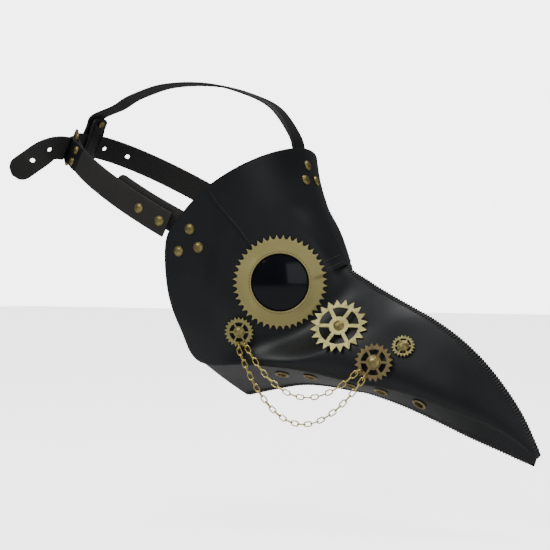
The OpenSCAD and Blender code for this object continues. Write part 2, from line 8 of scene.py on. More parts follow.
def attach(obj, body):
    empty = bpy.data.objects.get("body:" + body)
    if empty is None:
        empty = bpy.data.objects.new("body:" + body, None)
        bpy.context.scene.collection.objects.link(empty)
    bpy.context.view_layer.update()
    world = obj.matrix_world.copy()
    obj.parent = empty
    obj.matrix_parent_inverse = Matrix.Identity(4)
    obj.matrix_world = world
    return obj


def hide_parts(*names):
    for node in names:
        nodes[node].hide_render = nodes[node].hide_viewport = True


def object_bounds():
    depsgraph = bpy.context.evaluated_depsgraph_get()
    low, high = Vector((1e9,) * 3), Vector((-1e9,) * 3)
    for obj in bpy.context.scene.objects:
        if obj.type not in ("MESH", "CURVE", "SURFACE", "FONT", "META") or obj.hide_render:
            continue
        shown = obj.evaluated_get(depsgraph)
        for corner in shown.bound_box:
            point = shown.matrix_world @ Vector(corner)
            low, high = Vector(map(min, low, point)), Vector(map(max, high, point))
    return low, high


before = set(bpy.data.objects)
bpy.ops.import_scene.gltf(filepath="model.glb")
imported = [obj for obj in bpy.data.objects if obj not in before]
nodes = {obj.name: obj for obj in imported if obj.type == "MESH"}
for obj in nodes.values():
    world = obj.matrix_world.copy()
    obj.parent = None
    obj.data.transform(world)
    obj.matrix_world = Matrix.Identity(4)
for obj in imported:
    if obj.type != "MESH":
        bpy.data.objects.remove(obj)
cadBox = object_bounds()
scene = bpy.context.scene
mm = 0.001
sides = {"right": 1, "left": -1}
flip = np.array([1, -1, 1])

# the camera stands in front of the wearer's right cheek
cameraSpot = {"place": (0.6781, -1.0448, -0.0005), "turn": 33, "lens": 89.55}
camera = bpy.data.objects.new("camera", bpy.data.cameras.new("camera"))
scene.collection.objects.link(camera)
camera.location = cameraSpot["place"]
camera.rotation_euler = (math.radians(90), 0, math.radians(cameraSpot["turn"]))
camera.data.lens = cameraSpot["lens"]
camera.data.sensor_width = 36
scene.camera = camera

# shape of the mask, in millimetres, as the CAD draws it
ribs = np.array([
    [[28, 0, 113], [27.5, -55, 111], [-18, -76, 87], [-49, -75, 55]],
    [[35, 0, 88], [34.5, -53, 85], [-17, -76, 41], [-67, -76, 31]],
    [[51.5, 0, 50], [51, -47, 44], [-19, -74, 8], [-66, -75, -14]],
    [[73, 0, 11], [65, -26, 5], [-9, -74, -39], [-55, -70, -49]],
    [[98, 0, -6], [76, -20, -25], [21, -67, -62], [-41, -60, -78]],
    [[120, 0, -18], [100, -28, -35], [45, -60, -72], [12, -58, -79]],
    [[140, 0, -28], [123, -32, -42], [77, -57, -73], [58, -48, -83]],
    [[162, 0, -39], [144, -27, -58], [112, -51, -80], [103, -38, -92]],
    [[188, 0, -56], [173, -23, -73], [150, -38, -91], [146, -30, -99]],
    [[213, 0, -79], [203, -18, -92], [188, -28, -106], [188, -22, -113]],
    [[238, 0, -111], [232, -9, -118], [226, -13, -126], [227, -10, -130]],
    [[256, 0, -146], [255, -3, -147], [253, -3, -149], [252, -2, -150]]], float)
keel = np.array([[-31, 0, -111], [1, 0, -104], [29, 0, -99], [55, 0, -99], [81, 0, -102], [98, 0, -104],
                 [131, 0, -113], [162, 0, -124], [193, 0, -136], [222, 0, -146], [250, 0, -156]], float)
lapEdge = np.array([[3.1, 0], [3.1, 0.174], [3.05, 0.278], [2.88, 0.413], [2.476, 0.451], [2.057, 0.495],
                    [1.514, 0.546], [0.94, 0.621], [0.12, 0.745]], float)
lapStart = np.array([[0, 0.675], [0.96, 0.545], [2.05, 0.42], [2.6, 0.32], [2.84, 0.208], [2.945, 0.094], [3, 0],
                     [12, 0]])
mask = {"leather": 2.2, "gap": 0.35, "seam": 0.15, "lastRib": 11, "jawRib": 4,
        "flatIn": 38, "flatOut": 70, "flatFade": 0.18, "ventRibs": [5.35, 5.98, 6.87, 7.63, 8.4], "ventShare": 0.4}
eye = np.array([31.8, -41.6, -7.0])
eyeNormal = np.array([0.545, -0.839, 0.0])
eyeNormal /= np.linalg.norm(eyeNormal)
goggle = {"lens": 25, "dome": 5, "band": 12.7, "tooth": 3.8, "teeth": 44, "thick": 2.0, "flange": 4}


def unit(v):
    v = np.asarray(v, float)
    return v / np.maximum(np.linalg.norm(v, axis=-1, keepdims=True), 1e-12)


def smooth(x):
    x = np.clip(x, 0, 1)
    return x * x * (3 - 2 * x)


def along(points, t):
    points = np.asarray(points, float)
    last = len(points) - 1
    padded = np.vstack([[2 * points[0] - points[1]], points, [2 * points[-1] - points[-2]]])
    t = np.asarray(t, float)
    i = np.floor(np.clip(t, 0, last - 1e-4)).astype(int)
    u = (np.clip(t, 0, last) - i)[..., None]
    a, b, c, d = (padded[i + k] for k in range(4))
    return 0.5 * (2 * b + (c - a) * u + (2 * a - 5 * b + 4 * c - d) * u ** 2 + (3 * b - a - 3 * c + d) * u ** 3)


def skin(s, v):
    s, v = np.broadcast_arrays(np.asarray(s, float), np.asarray(v, float))
    s = np.clip(s, 0, mask["lastRib"])
    v = np.clip(v, 0, 1)
    w = v[..., None]
    c = [along(ribs[:, k], s) for k in range(4)]
    p = (1 - w) ** 3 * c[0] + 3 * w * (1 - w) ** 2 * c[1] + 3 * w * w * (1 - w) * c[2] + w ** 3 * c[3]
    d = (p - eye) @ eyeNormal
    r = np.linalg.norm(p - eye - d[..., None] * eyeNormal, axis=-1)
    press = smooth((mask["flatOut"] - r) / (mask["flatOut"] - mask["flatIn"])) * smooth(v / mask["flatFade"])
    return p - (d * press)[..., None] * eyeNormal


def skinNormal(s, v, es=0.15, ev=0.04):
    s, v = np.broadcast_arrays(np.asarray(s, float), np.asarray(v, float))
    return unit(np.cross(skin(s, np.minimum(v + ev, 1)) - skin(s, np.maximum(v - ev, 0)),
                         skin(np.minimum(s + es, 11), v) - skin(np.maximum(s - es, 0), v)))


def onRight(p):
    p = np.array(p)
    p[..., 1] = np.minimum(p[..., 1], -mask["seam"])
    return p


def browPoint(a, b, lift):
    share = np.abs(b)
    start = np.stack([np.zeros_like(share), share * lapEdge[-1, 1]], -1)
    q = start + (along(lapEdge, share * 8) - start) * np.asarray(a)[..., None]
    n = skinNormal(q[..., 0], q[..., 1])
    middle = unit(n * [1, 0, 1])
    n = np.where((share < 0.001)[..., None], middle, n)
    p = skin(q[..., 0], q[..., 1]) + n * lift
    return p * np.where((b < 0)[..., None], [1, -1, 1], [1, 1, 1])


def chin(s, w):
    s, w = np.broadcast_arrays(np.asarray(s, float), np.asarray(w, float))
    g = skin(s, 1) - skinNormal(s, 1) * (mask["leather"] + mask["gap"])
    k = along(keel, (s - mask["jawRib"]) / (mask["lastRib"] - mask["jawRib"]) * (len(keel) - 1))
    w = w[..., None]
    return onRight((1 - w) ** 2 * g + 2 * w * (1 - w) * ((g + k) / 2 + [0, 0, -2]) + w * w * k)


def chinNormal(s, w):
    return unit(np.cross(chin(s, np.minimum(w + 0.1, 1)) - chin(s, np.maximum(w - 0.1, 0)),
                         chin(np.minimum(s + 0.2, 11), w) - chin(np.maximum(s - 0.2, 4), w)))


# materials
def newGroup(name, inputs, outputs):
    group = bpy.data.node_groups.new(name, "ShaderNodeTree")
    for label, value in inputs.items():
        group.interface.new_socket(label, in_out="INPUT", socket_type="NodeSocketFloat").default_value = value
    for label in outputs:
        group.interface.new_socket(label, in_out="OUTPUT", socket_type="NodeSocketFloat")
    return group, group.nodes.new("NodeGroupInput"), group.nodes.new("NodeGroupOutput")


def mathNode(tree, operation, a, b=None, clamp=False):
    node = tree.nodes.new("ShaderNodeMath")
    node.operation = operation
    node.use_clamp = clamp
    for i, x in enumerate((a, b)):
        if x is None:
            continue
        if isinstance(x, (int, float)):
            node.inputs[i].default_value = x
        else:
            tree.links.new(x, node.inputs[i])
    return node.outputs[0]


def noiseNode(tree, coords, scale, detail=4, rough=0.55):
    node = tree.nodes.new("ShaderNodeTexNoise")
    tree.links.new(coords, node.inputs["Vector"])
    if isinstance(scale, (int, float)):
        node.inputs["Scale"].default_value = scale
    else:
        tree.links.new(scale, node.inputs["Scale"])
    node.inputs["Detail"].default_value = detail
    node.inputs["Roughness"].default_value = rough
    return node.outputs["Fac"]


def rampNode(tree, value, stops):
    node = tree.nodes.new("ShaderNodeMapRange")
    tree.links.new(value, node.inputs["Value"])
    for label, x in zip(("From Min", "From Max", "To Min", "To Max"), stops):
        if isinstance(x, (int, float)):
            node.inputs[label].default_value = x
        else:
            tree.links.new(x, node.inputs[label])
    return node.outputs["Result"]


def mixColor(tree, factor, a, b):
    node = tree.nodes.new("ShaderNodeMix")
    node.data_type = "RGBA"
    tree.links.new(factor, node.inputs["Factor"])
    for socket, x in ((node.inputs[6], a), (node.inputs[7], b)):
        if isinstance(x, tuple):
            socket.default_value = (*x, 1)
        else:
            tree.links.new(x, socket)
    return node.outputs[2]


# pebbled leather grain: height, a blotchy tone and a streaky scuff mask
def buildGrain():
    group, gin, gout = newGroup("leatherGrain", {"Grain Scale": 900.0, "Crease": 0.4}, ("Height", "Tone", "Scuff"))
    coords = group.nodes.new("ShaderNodeTexCoord").outputs["Object"]
    cells = group.nodes.new("ShaderNodeTexVoronoi")
    cells.feature = "SMOOTH_F1"
    group.links.new(coords, cells.inputs["Vector"])
    group.links.new(gin.outputs["Grain Scale"], cells.inputs["Scale"])
    fine = noiseNode(group, coords, 1900.0, 3)
    folds = noiseNode(group, coords, 55.0, 5, 0.5)
    wide = noiseNode(group, coords, 14.0, 3)
    ridge = mathNode(group, "ABSOLUTE", mathNode(group, "SUBTRACT", folds, 0.5))
    crease = mathNode(group, "MULTIPLY", mathNode(group, "MULTIPLY", ridge, 3.0), gin.outputs["Crease"])
    pebble = mathNode(group, "MULTIPLY", cells.outputs["Distance"], 0.55)
    grain = mathNode(group, "ADD", pebble, mathNode(group, "MULTIPLY", fine, 0.25))
    height = mathNode(group, "ADD", grain, crease)
    group.links.new(height, gout.inputs["Height"])
    group.links.new(rampNode(group, wide, (0.3, 0.7, 0, 1)), gout.inputs["Tone"])
    streak = noiseNode(group, coords, 120.0, 8, 0.7)
    group.links.new(rampNode(group, streak, (0.62, 0.78, 0, 1)), gout.inputs["Scuff"])
    return group


# worn edges from the pointiness of the mesh
def buildEdgeWear():
    group, gin, gout = newGroup("edgeWear", {"Amount": 1.0, "Breakup Scale": 220.0}, ("Wear",))
    point = group.nodes.new("ShaderNodeNewGeometry").outputs["Pointiness"]
    coords = group.nodes.new("ShaderNodeTexCoord").outputs["Object"]
    breakup = noiseNode(group, coords, gin.outputs["Breakup Scale"], 4)
    edge = rampNode(group, point, (0.52, 0.6, 0, 1))
    amount = mathNode(group, "MULTIPLY", gin.outputs["Amount"], 1.6)
    wear = mathNode(group, "MULTIPLY", mathNode(group, "MULTIPLY", edge, breakup), amount, clamp=True)
    group.links.new(wear, gout.inputs["Wear"])
    return group


# tarnish for brass: dark patches, fine scratches and a height for hammered unevenness
def buildPatina():
    group, gin, gout = newGroup("patina", {"Patch Scale": 160.0, "Patch Amount": 0.5}, ("Dark", "Scratch", "Height"))
    coords = group.nodes.new("ShaderNodeTexCoord").outputs["Object"]
    patches = noiseNode(group, coords, gin.outputs["Patch Scale"], 6, 0.65)
    dark = mathNode(group, "MULTIPLY", rampNode(group, patches, (0.42, 0.68, 0, 1)), gin.outputs["Patch Amount"])
    group.links.new(dark, gout.inputs["Dark"])
    mapping = group.nodes.new("ShaderNodeMapping")
    mapping.inputs["Scale"].default_value = (1, 7, 0.4)
    mapping.inputs["Rotation"].default_value = (0.4, 0.7, 0.2)
    group.links.new(coords, mapping.inputs["Vector"])
    scratches = noiseNode(group, mapping.outputs["Vector"], 900.0, 3)
    group.links.new(scratches, gout.inputs["Scratch"])
    group.links.new(noiseNode(group, coords, 420.0, 4), gout.inputs["Height"])
    return group


grainGroup = buildGrain()
wearGroup = buildEdgeWear()
patinaGroup = buildPatina()


def startMaterial(name):
    material = bpy.data.materials.new(name)
    material.use_nodes = True
    tree = material.node_tree
    return material, tree, tree.nodes["Principled BSDF"]


def useGroup(tree, group, **values):
    node = tree.nodes.new("ShaderNodeGroup")
    node.node_tree = group
    for label, value in values.items():
        node.inputs[label.replace("_", " ")].default_value = value
    return node


def bumpNode(tree, height, strength, distance):
    node = tree.nodes.new("ShaderNodeBump")
    node.inputs["Strength"].default_value = strength
    node.inputs["Distance"].default_value = distance
    tree.links.new(height, node.inputs["Height"])
    return node.outputs["Normal"]


def leatherMaterial(name, dark, light, rough, grain, bump, crease=0.4, rubbed=(0.09, 0.085, 0.08), wear=0.6,
                    metallic=0):
    material, tree, shader = startMaterial(name)
    pattern = useGroup(tree, grainGroup, Grain_Scale=grain, Crease=crease)
    edges = useGroup(tree, wearGroup, Amount=wear)
    base = mixColor(tree, pattern.outputs["Tone"], dark, light)
    tree.links.new(mixColor(tree, edges.outputs["Wear"], base, rubbed), shader.inputs["Base Color"])
    gloss = rampNode(tree, pattern.outputs["Tone"], (0, 1, *rough))
    scuffed = mathNode(tree, "ADD", gloss, mathNode(tree, "MULTIPLY", pattern.outputs["Scuff"], 0.12))
    tree.links.new(scuffed, shader.inputs["Roughness"])
    tree.links.new(bumpNode(tree, pattern.outputs["Height"], bump, 0.0004), shader.inputs["Normal"])
    shader.inputs["Metallic"].default_value = metallic
    shader.inputs["IOR"].default_value = 1.4
    return material


def brassMaterial(name, bright, dull, roughness, patches=0.5, wear=0.5, bump=0.15):
    material, tree, shader = startMaterial(name)
    tarnish = useGroup(tree, patinaGroup, Patch_Amount=patches)
    edges = useGroup(tree, wearGroup, Amount=wear, Breakup_Scale=500.0)
    base = mixColor(tree, tarnish.outputs["Dark"], bright, dull)
    rubbed = tuple(min(1, c * 1.25) for c in bright)
    tree.links.new(mixColor(tree, edges.outputs["Wear"], base, rubbed), shader.inputs["Base Color"])
    rough = rampNode(tree, tarnish.outputs["Scratch"], (0.3, 0.7, roughness - 0.07, roughness + 0.1))
    tree.links.new(mathNode(tree, "ADD", rough, mathNode(tree, "MULTIPLY", tarnish.outputs["Dark"], 0.2)),
                   shader.inputs["Roughness"])
    tree.links.new(bumpNode(tree, tarnish.outputs["Height"], bump, 0.0003), shader.inputs["Normal"])
    shader.inputs["Metallic"].default_value = 0.95
    return material


maskLeather = leatherMaterial("maskLeather", (0.004, 0.005, 0.006), (0.008, 0.009, 0.011), (0.4, 0.5), 1100, 0.12,
                              crease=0.25, rubbed=(0.03, 0.03, 0.032))
strapLeather = leatherMaterial("strapLeather", (0.005, 0.005, 0.006), (0.009, 0.009, 0.01), (0.42, 0.52), 1000, 0.15,
                               crease=0.3, rubbed=(0.04, 0.037, 0.034))
fleshLeather = leatherMaterial("fleshLeather", (0.016, 0.015, 0.015), (0.03, 0.028, 0.027), (0.8, 0.92), 1500, 0.5,
                               crease=0.9, wear=0.2)
cutLeather = leatherMaterial("cutLeather", (0.008, 0.008, 0.008), (0.016, 0.015, 0.014), (0.5, 0.65), 1600, 0.3,
                             wear=0.2)
goldLeather = leatherMaterial("goldLeather", (0.29, 0.25, 0.09), (0.43, 0.375, 0.15), (0.38, 0.52), 700, 0.6,
                              crease=0.6, rubbed=(0.56, 0.5, 0.26), wear=0.8, metallic=0.4)
waxedThread = leatherMaterial("waxedThread", (0.007, 0.007, 0.008), (0.014, 0.014, 0.015), (0.42, 0.55), 2400, 0.5,
                              crease=0.2, wear=0.3)
goldThread = leatherMaterial("goldThread", (0.075, 0.055, 0.022), (0.11, 0.085, 0.035), (0.5, 0.6), 2400, 0.5,
                             wear=0.3, metallic=0.2)
paleBrass = brassMaterial("paleBrass", (0.36, 0.325, 0.135), (0.2, 0.175, 0.075), 0.44, 0.55)
darkBronze = brassMaterial("darkBronze", (0.26, 0.2, 0.095), (0.12, 0.09, 0.045), 0.44, 0.7)
rivetBrass = brassMaterial("rivetBrass", (0.34, 0.28, 0.11), (0.12, 0.095, 0.035), 0.38, 0.9)
eyeletBrass = brassMaterial("eyeletBrass", (0.3, 0.24, 0.12), (0.11, 0.085, 0.04), 0.38, 0.9)
buckleBrass = brassMaterial("buckleBrass", (0.44, 0.36, 0.17), (0.16, 0.12, 0.05), 0.3, 0.8)
goldWire = brassMaterial("goldWire", (0.7, 0.56, 0.18), (0.3, 0.23, 0.07), 0.22, 0.4)


def glassMaterial():
    material, tree, shader = startMaterial("darkGlass")
    coords = tree.nodes.new("ShaderNodeTexCoord").outputs["Object"]
    tint = rampNode(tree, noiseNode(tree, coords, 30.0, 2), (0.3, 0.7, 0, 1))
    smear = noiseNode(tree, coords, 240.0, 5)
    tree.links.new(mixColor(tree, tint, (0.0015, 0.002, 0.004), (0.004, 0.005, 0.01)), shader.inputs["Base Color"])
    tree.links.new(rampNode(tree, smear, (0.3, 0.8, 0.1, 0.17)), shader.inputs["Roughness"])
    shader.inputs["IOR"].default_value = 1.3
    return material


darkGlass = glassMaterial()
print("materials ready")


# mesh helpers
def addObject(name, mesh):
    piece = bpy.data.objects.new(name, mesh)
    scene.collection.objects.link(piece)
    return piece


def meshFrom(name, points, faces, materials, slots=None, edges=(), angle=35):
    mesh = bpy.data.meshes.new(name)
    corners = [tuple(p) for p in np.asarray(points, float) * mm]
    mesh.from_pydata(corners, list(edges), [list(map(int, f)) for f in faces])
    for material in materials:
        mesh.materials.append(material)
    if slots is not None:
        mesh.polygons.foreach_set("material_index", list(slots))
    finishMesh(mesh, angle)
    return mesh


def finishMesh(mesh, angle):
    mesh.validate()
    if len(mesh.polygons):
        mesh.polygons.foreach_set("use_smooth", [True] * len(mesh.polygons))
        mesh.set_sharp_from_angle(angle=math.radians(angle))
    mesh.update()


def faceOut(mesh, weld=False):
    shape = bmesh.new()
    shape.from_mesh(mesh)
    if weld:
        bmesh.ops.remove_doubles(shape, verts=shape.verts, dist=1e-6)
    bmesh.ops.recalc_face_normals(shape, faces=shape.faces)
    shape.to_mesh(mesh)
    shape.free()


def bake(piece, angle=35):
    bpy.context.view_layer.update()
    graph = bpy.context.evaluated_depsgraph_get()
    evaluated = piece.evaluated_get(graph)
    mesh = bpy.data.meshes.new_from_object(evaluated, preserve_all_data_layers=True, depsgraph=graph)
    piece.modifiers.clear()
    if piece.type != "MESH":
        name = piece.name
        bpy.data.objects.remove(piece)
        piece = addObject(name, mesh)
    else:
        piece.data = mesh
    finishMesh(piece.data, angle)
    return piece


def bevel(piece, width, segments=2, angle=50):
    modifier = piece.modifiers.new("bevel", "BEVEL")
    modifier.width = width * mm
    modifier.segments = segments
    modifier.limit_method = "ANGLE"
    modifier.angle_limit = math.radians(angle)
    modifier.harden_normals = False


def cut(piece, cutters):
    for cutter in cutters:
        modifier = piece.modifiers.new("cut", "BOOLEAN")
        modifier.operation = "DIFFERENCE"
        modifier.solver = "EXACT"
        modifier.object = cutter
    piece = bake(piece)
    for cutter in cutters:
        bpy.data.objects.remove(cutter)
    return piece


def basis(normal, up=(0, 0, 1)):
    n = unit(normal)
    u = unit(np.cross(up, n))
    return u, np.cross(n, u), n


def rod(name, centre, normal, radius, half, count=64):
    u, w, n = basis(normal)
    angles = np.linspace(0, 2 * math.pi, count, endpoint=False)
    ring = [centre + radius * (math.cos(a) * u + math.sin(a) * w) for a in angles]
    points = [p - n * half for p in ring] + [p + n * half for p in ring]
    faces = [[i, (i + 1) % count, count + (i + 1) % count, count + i] for i in range(count)]
    faces += [list(range(count))[::-1], list(range(count, 2 * count))]
    return addObject(name, meshFrom(name, points, faces, []))


def mirrored(piece, name):
    mesh = piece.data.copy()
    mesh.transform(Matrix.Scale(-1, 4, Vector((0, 1, 0))))
    mesh.flip_normals()
    return addObject(name, mesh)


def claim(piece, body, slotName, *cadNodes):
    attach(piece, body)
    if cadNodes:
        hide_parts(*cadNodes)
    return piece


# a closed sheet of leather between two grids; slot 0 grain side, 1 flesh side, 2 cut edge
def wall(name, outer, inner, materials, angle=40):
    rows, cols = outer.shape[:2]
    count = rows * cols
    index = np.arange(count).reshape(rows, cols)
    a, b, c, d = index[:-1, :-1].ravel(), index[:-1, 1:].ravel(), index[1:, 1:].ravel(), index[1:, :-1].ravel()
    top = np.stack([a, d, c, b], 1)
    bottom = np.stack([a, b, c, d], 1) + count
    loop = np.concatenate([index[0, :-1], index[:-1, -1], index[-1, :0:-1], index[:0:-1, 0]])
    nextLoop = np.roll(loop, -1)
    rim = np.stack([loop, nextLoop, nextLoop + count, loop + count], 1)
    faces = np.concatenate([top, bottom, rim])
    slots = [0] * len(top) + [1] * len(bottom) + [2] * len(rim)
    points = np.concatenate([outer.reshape(-1, 3), inner.reshape(-1, 3)])
    mesh = meshFrom(name, points, faces, materials, slots, angle=angle)
    faceOut(mesh, weld=True)
    finishMesh(mesh, angle)
    return addObject(name, mesh)


# leather panels
leatherSet = [maskLeather, fleshLeather, cutLeather]
panelDetail = {"sideRows": 150, "sideCols": 48, "browRows": 52, "browCols": 46, "chinRows": 120, "chinCols": 22,
               "edge": 0.5, "chinEdge": 0.3}
eyeHole = goggle["lens"] + 0.5


def makeSidePanel():
    s = np.linspace(0, mask["lastRib"], panelDetail["sideRows"])[:, None]
    start = np.interp(s, lapStart[:, 0], lapStart[:, 1])
    v = start + (1 - start) * np.linspace(0, 1, panelDetail["sideCols"])[None, :]
    s = s + 0 * v
    outer = skin(s, v)
    inner = outer - skinNormal(s, v) * mask["leather"]
    piece = wall("sidePanel_right", onRight(outer), onRight(inner), leatherSet)
    piece = cut(piece, [rod("eyeCut", eye, eyeNormal, eyeHole, 20)])
    bevel(piece, panelDetail["edge"], 2, 55)
    return bake(piece, 40)


def makeForeheadPanel():
    a = np.linspace(0, 1, panelDetail["browRows"])[:, None]
    b = np.linspace(-1, 1, 2 * panelDetail["browCols"] + 1)[None, :]
    a, b = np.broadcast_arrays(a, b)
    outer, inner = browPoint(a, b, mask["gap"] + mask["leather"]), browPoint(a, b, mask["gap"])
    piece = wall("foreheadPanel", outer, inner, leatherSet)
    piece = cut(piece, [rod("eyeCutA", eye, eyeNormal, eyeHole, 20),
                        rod("eyeCutB", eye * flip, eyeNormal * flip, eyeHole, 20)])
    bevel(piece, panelDetail["edge"], 2, 55)
    return bake(piece, 40)


def makeChinPanel():
    s = np.linspace(mask["jawRib"], mask["lastRib"], panelDetail["chinRows"])[:, None]
    w = np.linspace(0, 1, panelDetail["chinCols"])[None, :]
    s, w = np.broadcast_arrays(s, w)
    outer = chin(s, w)
    inner = onRight(outer - chinNormal(s, w) * mask["leather"])
    piece = wall("chinPanel_right", outer, inner, leatherSet)
    cutters = [rod("ventCut", chin(r, mask["ventShare"]), chinNormal(r, mask["ventShare"]), 4.8, 10, 32)
               for r in mask["ventRibs"]]
    piece = cut(piece, cutters)
    bevel(piece, panelDetail["chinEdge"], 2, 55)
    return bake(piece, 40)


def claimPair(piece, slotName, cadPair=None):
    other = mirrored(piece, piece.name.replace("right", "left"))
    claim(piece, "mask", slotName, *([cadPair + "_right"] if cadPair else []))
    claim(other, "mask", slotName, *([cadPair + "_left"] if cadPair else []))


claimPair(makeSidePanel(), "mask_leather", "side_panel")
claimPair(makeChinPanel(), "mask_leather", "chin_panel")
claim(makeForeheadPanel(), "mask", "mask_leather", "forehead_panel")
print("panels ready")


# a geometry tree with named inputs, its two ends and the identifier of each input
def geometryTree(name, inputs):
    tree = bpy.data.node_groups.new(name, "GeometryNodeTree")
    tree.interface.new_socket("Geometry", in_out="INPUT", socket_type="NodeSocketGeometry")
    keys = {}
    for label, kind in inputs.items():
        socket = tree.interface.new_socket(label, in_out="INPUT", socket_type="NodeSocket" + kind)
        keys[label] = socket.identifier
    tree.interface.new_socket("Geometry", in_out="OUTPUT", socket_type="NodeSocketGeometry")
    return tree, tree.nodes.new("NodeGroupInput"), tree.nodes.new("NodeGroupOutput"), keys


def finishTree(tree, gin, gout, geometry):
    realize = tree.nodes.new("GeometryNodeRealizeInstances")
    paint = tree.nodes.new("GeometryNodeSetMaterial")
    tree.links.new(geometry, realize.inputs["Geometry"])
    tree.links.new(realize.outputs["Geometry"], paint.inputs["Geometry"])
    tree.links.new(gin.outputs["Finish"], paint.inputs["Material"])
    tree.links.new(paint.outputs["Geometry"], gout.inputs["Geometry"])


def runTree(piece, tree, keys, values, angle):
    modifier = piece.modifiers.new(tree.name, "NODES")
    modifier.node_group = tree
    for label, value in values.items():
        modifier[keys[label]] = value
    return bake(piece, angle)


# polylines become round threads
def threadTree():
    tree, gin, gout, keys = geometryTree("threadRun", {"Thread Radius": "Float", "Thread Sides": "Int",
                                                       "Finish": "Material"})
    toCurve = tree.nodes.new("GeometryNodeMeshToCurve")
    circle = tree.nodes.new("GeometryNodeCurvePrimitiveCircle")
    sweep = tree.nodes.new("GeometryNodeCurveToMesh")
    sweep.inputs["Fill Caps"].default_value = True
    link = tree.links.new
    link(gin.outputs["Geometry"], toCurve.inputs["Mesh"])
    link(gin.outputs["Thread Sides"], circle.inputs["Resolution"])
    link(gin.outputs["Thread Radius"], circle.inputs["Radius"])
    link(toCurve.outputs["Curve"], sweep.inputs["Curve"])
    link(circle.outputs["Curve"], sweep.inputs["Profile Curve"])
    finishTree(tree, gin, gout, sweep.outputs["Mesh"])
    return tree, keys


threads, threadKeys = threadTree()


def sew(name, stitches, radius, material, roundness=6):
    points, edges = [], []
    for stitch in stitches:
        first = len(points)
        points += list(stitch)
        edges += [(first + i, first + i + 1) for i in range(len(stitch) - 1)]
    piece = addObject(name, meshFrom(name, points, [], [], edges=edges))
    return runTree(piece, threads, threadKeys, {"Thread Radius": radius * mm, "Thread Sides": roundness,
                                                "Finish": material}, 60)


# copies of one piece set on points; "turn" holds each point's rotation
def scatterTree():
    tree, gin, gout, keys = geometryTree("setPieces", {"Piece": "Object", "Size": "Float", "Finish": "Material"})
    info = tree.nodes.new("GeometryNodeObjectInfo")
    turn = tree.nodes.new("GeometryNodeInputNamedAttribute")
    turn.data_type = "FLOAT_VECTOR"
    turn.inputs["Name"].default_value = "turn"
    place = tree.nodes.new("GeometryNodeInstanceOnPoints")
    link = tree.links.new
    link(gin.outputs["Piece"], info.inputs["Object"])
    link(gin.outputs["Geometry"], place.inputs["Points"])
    link(info.outputs["Geometry"], place.inputs["Instance"])
    link(turn.outputs["Attribute"], place.inputs["Rotation"])
    link(gin.outputs["Size"], place.inputs["Scale"])
    finishTree(tree, gin, gout, place.outputs["Instances"])
    return tree, keys


setter, setterKeys = scatterTree()


def turnOf(x, y, z):
    return Matrix((x, y, z)).transposed().to_euler()


def scatter(name, pattern, seats, material, size=1.0, angle=35):
    mesh = meshFrom(name, [seat[0] for seat in seats], [], [])
    turns = mesh.attributes.new("turn", "FLOAT_VECTOR", "POINT")
    turns.data.foreach_set("vector", [c for seat in seats for c in seat[1]])
    values = {"Piece": pattern, "Size": size, "Finish": material}
    piece = runTree(addObject(name, mesh), setter, setterKeys, values, angle)
    bpy.data.objects.remove(pattern)
    return piece


def seatAt(point, normal, spin=0.0):
    u, w, n = basis(normal)
    c, s = math.cos(spin), math.sin(spin)
    return point, turnOf(u * c + w * s, w * c - u * s, n)


def lathe(name, profile, count=40):
    angles = np.linspace(0, 2 * math.pi, count, endpoint=False)
    points, rings, faces = [], [], []
    for r, z in profile:
        if r < 1e-6:
            rings.append([len(points)])
            points.append((0, 0, z))
        else:
            rings.append(list(range(len(points), len(points) + count)))
            points += [(r * math.cos(a), r * math.sin(a), z) for a in angles]
    for low, high in zip(rings, rings[1:]):
        for i in range(count):
            j = (i + 1) % count
            if len(low) == 1 and len(high) > 1:
                faces.append([low[0], high[j], high[i]])
            elif len(high) == 1 and len(low) > 1:
                faces.append([low[i], low[j], high[0]])
            elif len(low) > 1:
                faces.append([low[i], low[j], high[j], high[i]])
    mesh = meshFrom(name, points, faces, [])
    faceOut(mesh)
    finishMesh(mesh, 35)
    return addObject(name, mesh)


# polyline of points spaced evenly by length
def spaced(points, step):
    points = np.asarray(points, float)
    run = np.concatenate([[0], np.cumsum(np.linalg.norm(np.diff(points, axis=0), axis=1))])
    count = max(2, int(round(run[-1] / step)) + 1)
    marks = np.linspace(0, run[-1], count)
    return marks, np.stack([np.interp(marks, run, points[:, k]) for k in range(3)], 1), run


stitching = {"whipPitch": 2.6, "whipReach": 4.8, "whipRadius": 0.72, "whipShare": 0.32, "whipLift": 0.25,
             "lapPitch": 3.2, "lapRadius": 0.36, "lapInset": 3.5, "lapSecond": 6.5, "lapSecondReach": 0.3,
             "jawInset": 2.2, "jawPitch": 3.0, "ringPitch": 2.7, "ringRadius": 0.26, "ringInset": 2.0}


# over-and-over stitches that close a butt seam on the middle line
def whipStitches(surface, normal, sRange, vOf, sign):
    s = np.linspace(sRange[0], sRange[1], 400)
    line = surface(s, np.full_like(s, vOf))
    marks, _, run = spaced(line, stitching["whipPitch"])
    spots = np.interp(marks, run, s)
    stitches = []
    for k, spot in enumerate(spots[:-1]):
        ahead = spots[min(k + 1, len(spots) - 1)]
        arc = []
        for t in np.linspace(-1, 1, 11):
            at = spot + (ahead - spot) * (0.5 + stitching["whipShare"] * t)
            span = np.linspace(0, 0.35, 30)
            path = surface(np.full(30, at), vOf + sign * span)
            reach = np.concatenate([[0], np.cumsum(np.linalg.norm(np.diff(path, axis=0), axis=1))])
            here = vOf + sign * np.interp(abs(t) * stitching["whipReach"], reach, span)
            lift = stitching["whipRadius"] * stitching["whipLift"] if abs(t) < 0.95 else -1.2
            p = surface(np.array(at), np.array(here)) + normal(np.array(at), np.array(here)) * lift
            if abs(t) < 1e-6:
                p[1] = 0
            elif t > 0:
                p[1] = -p[1]
            arc.append(p)
        stitches.append(arc)
    return stitches


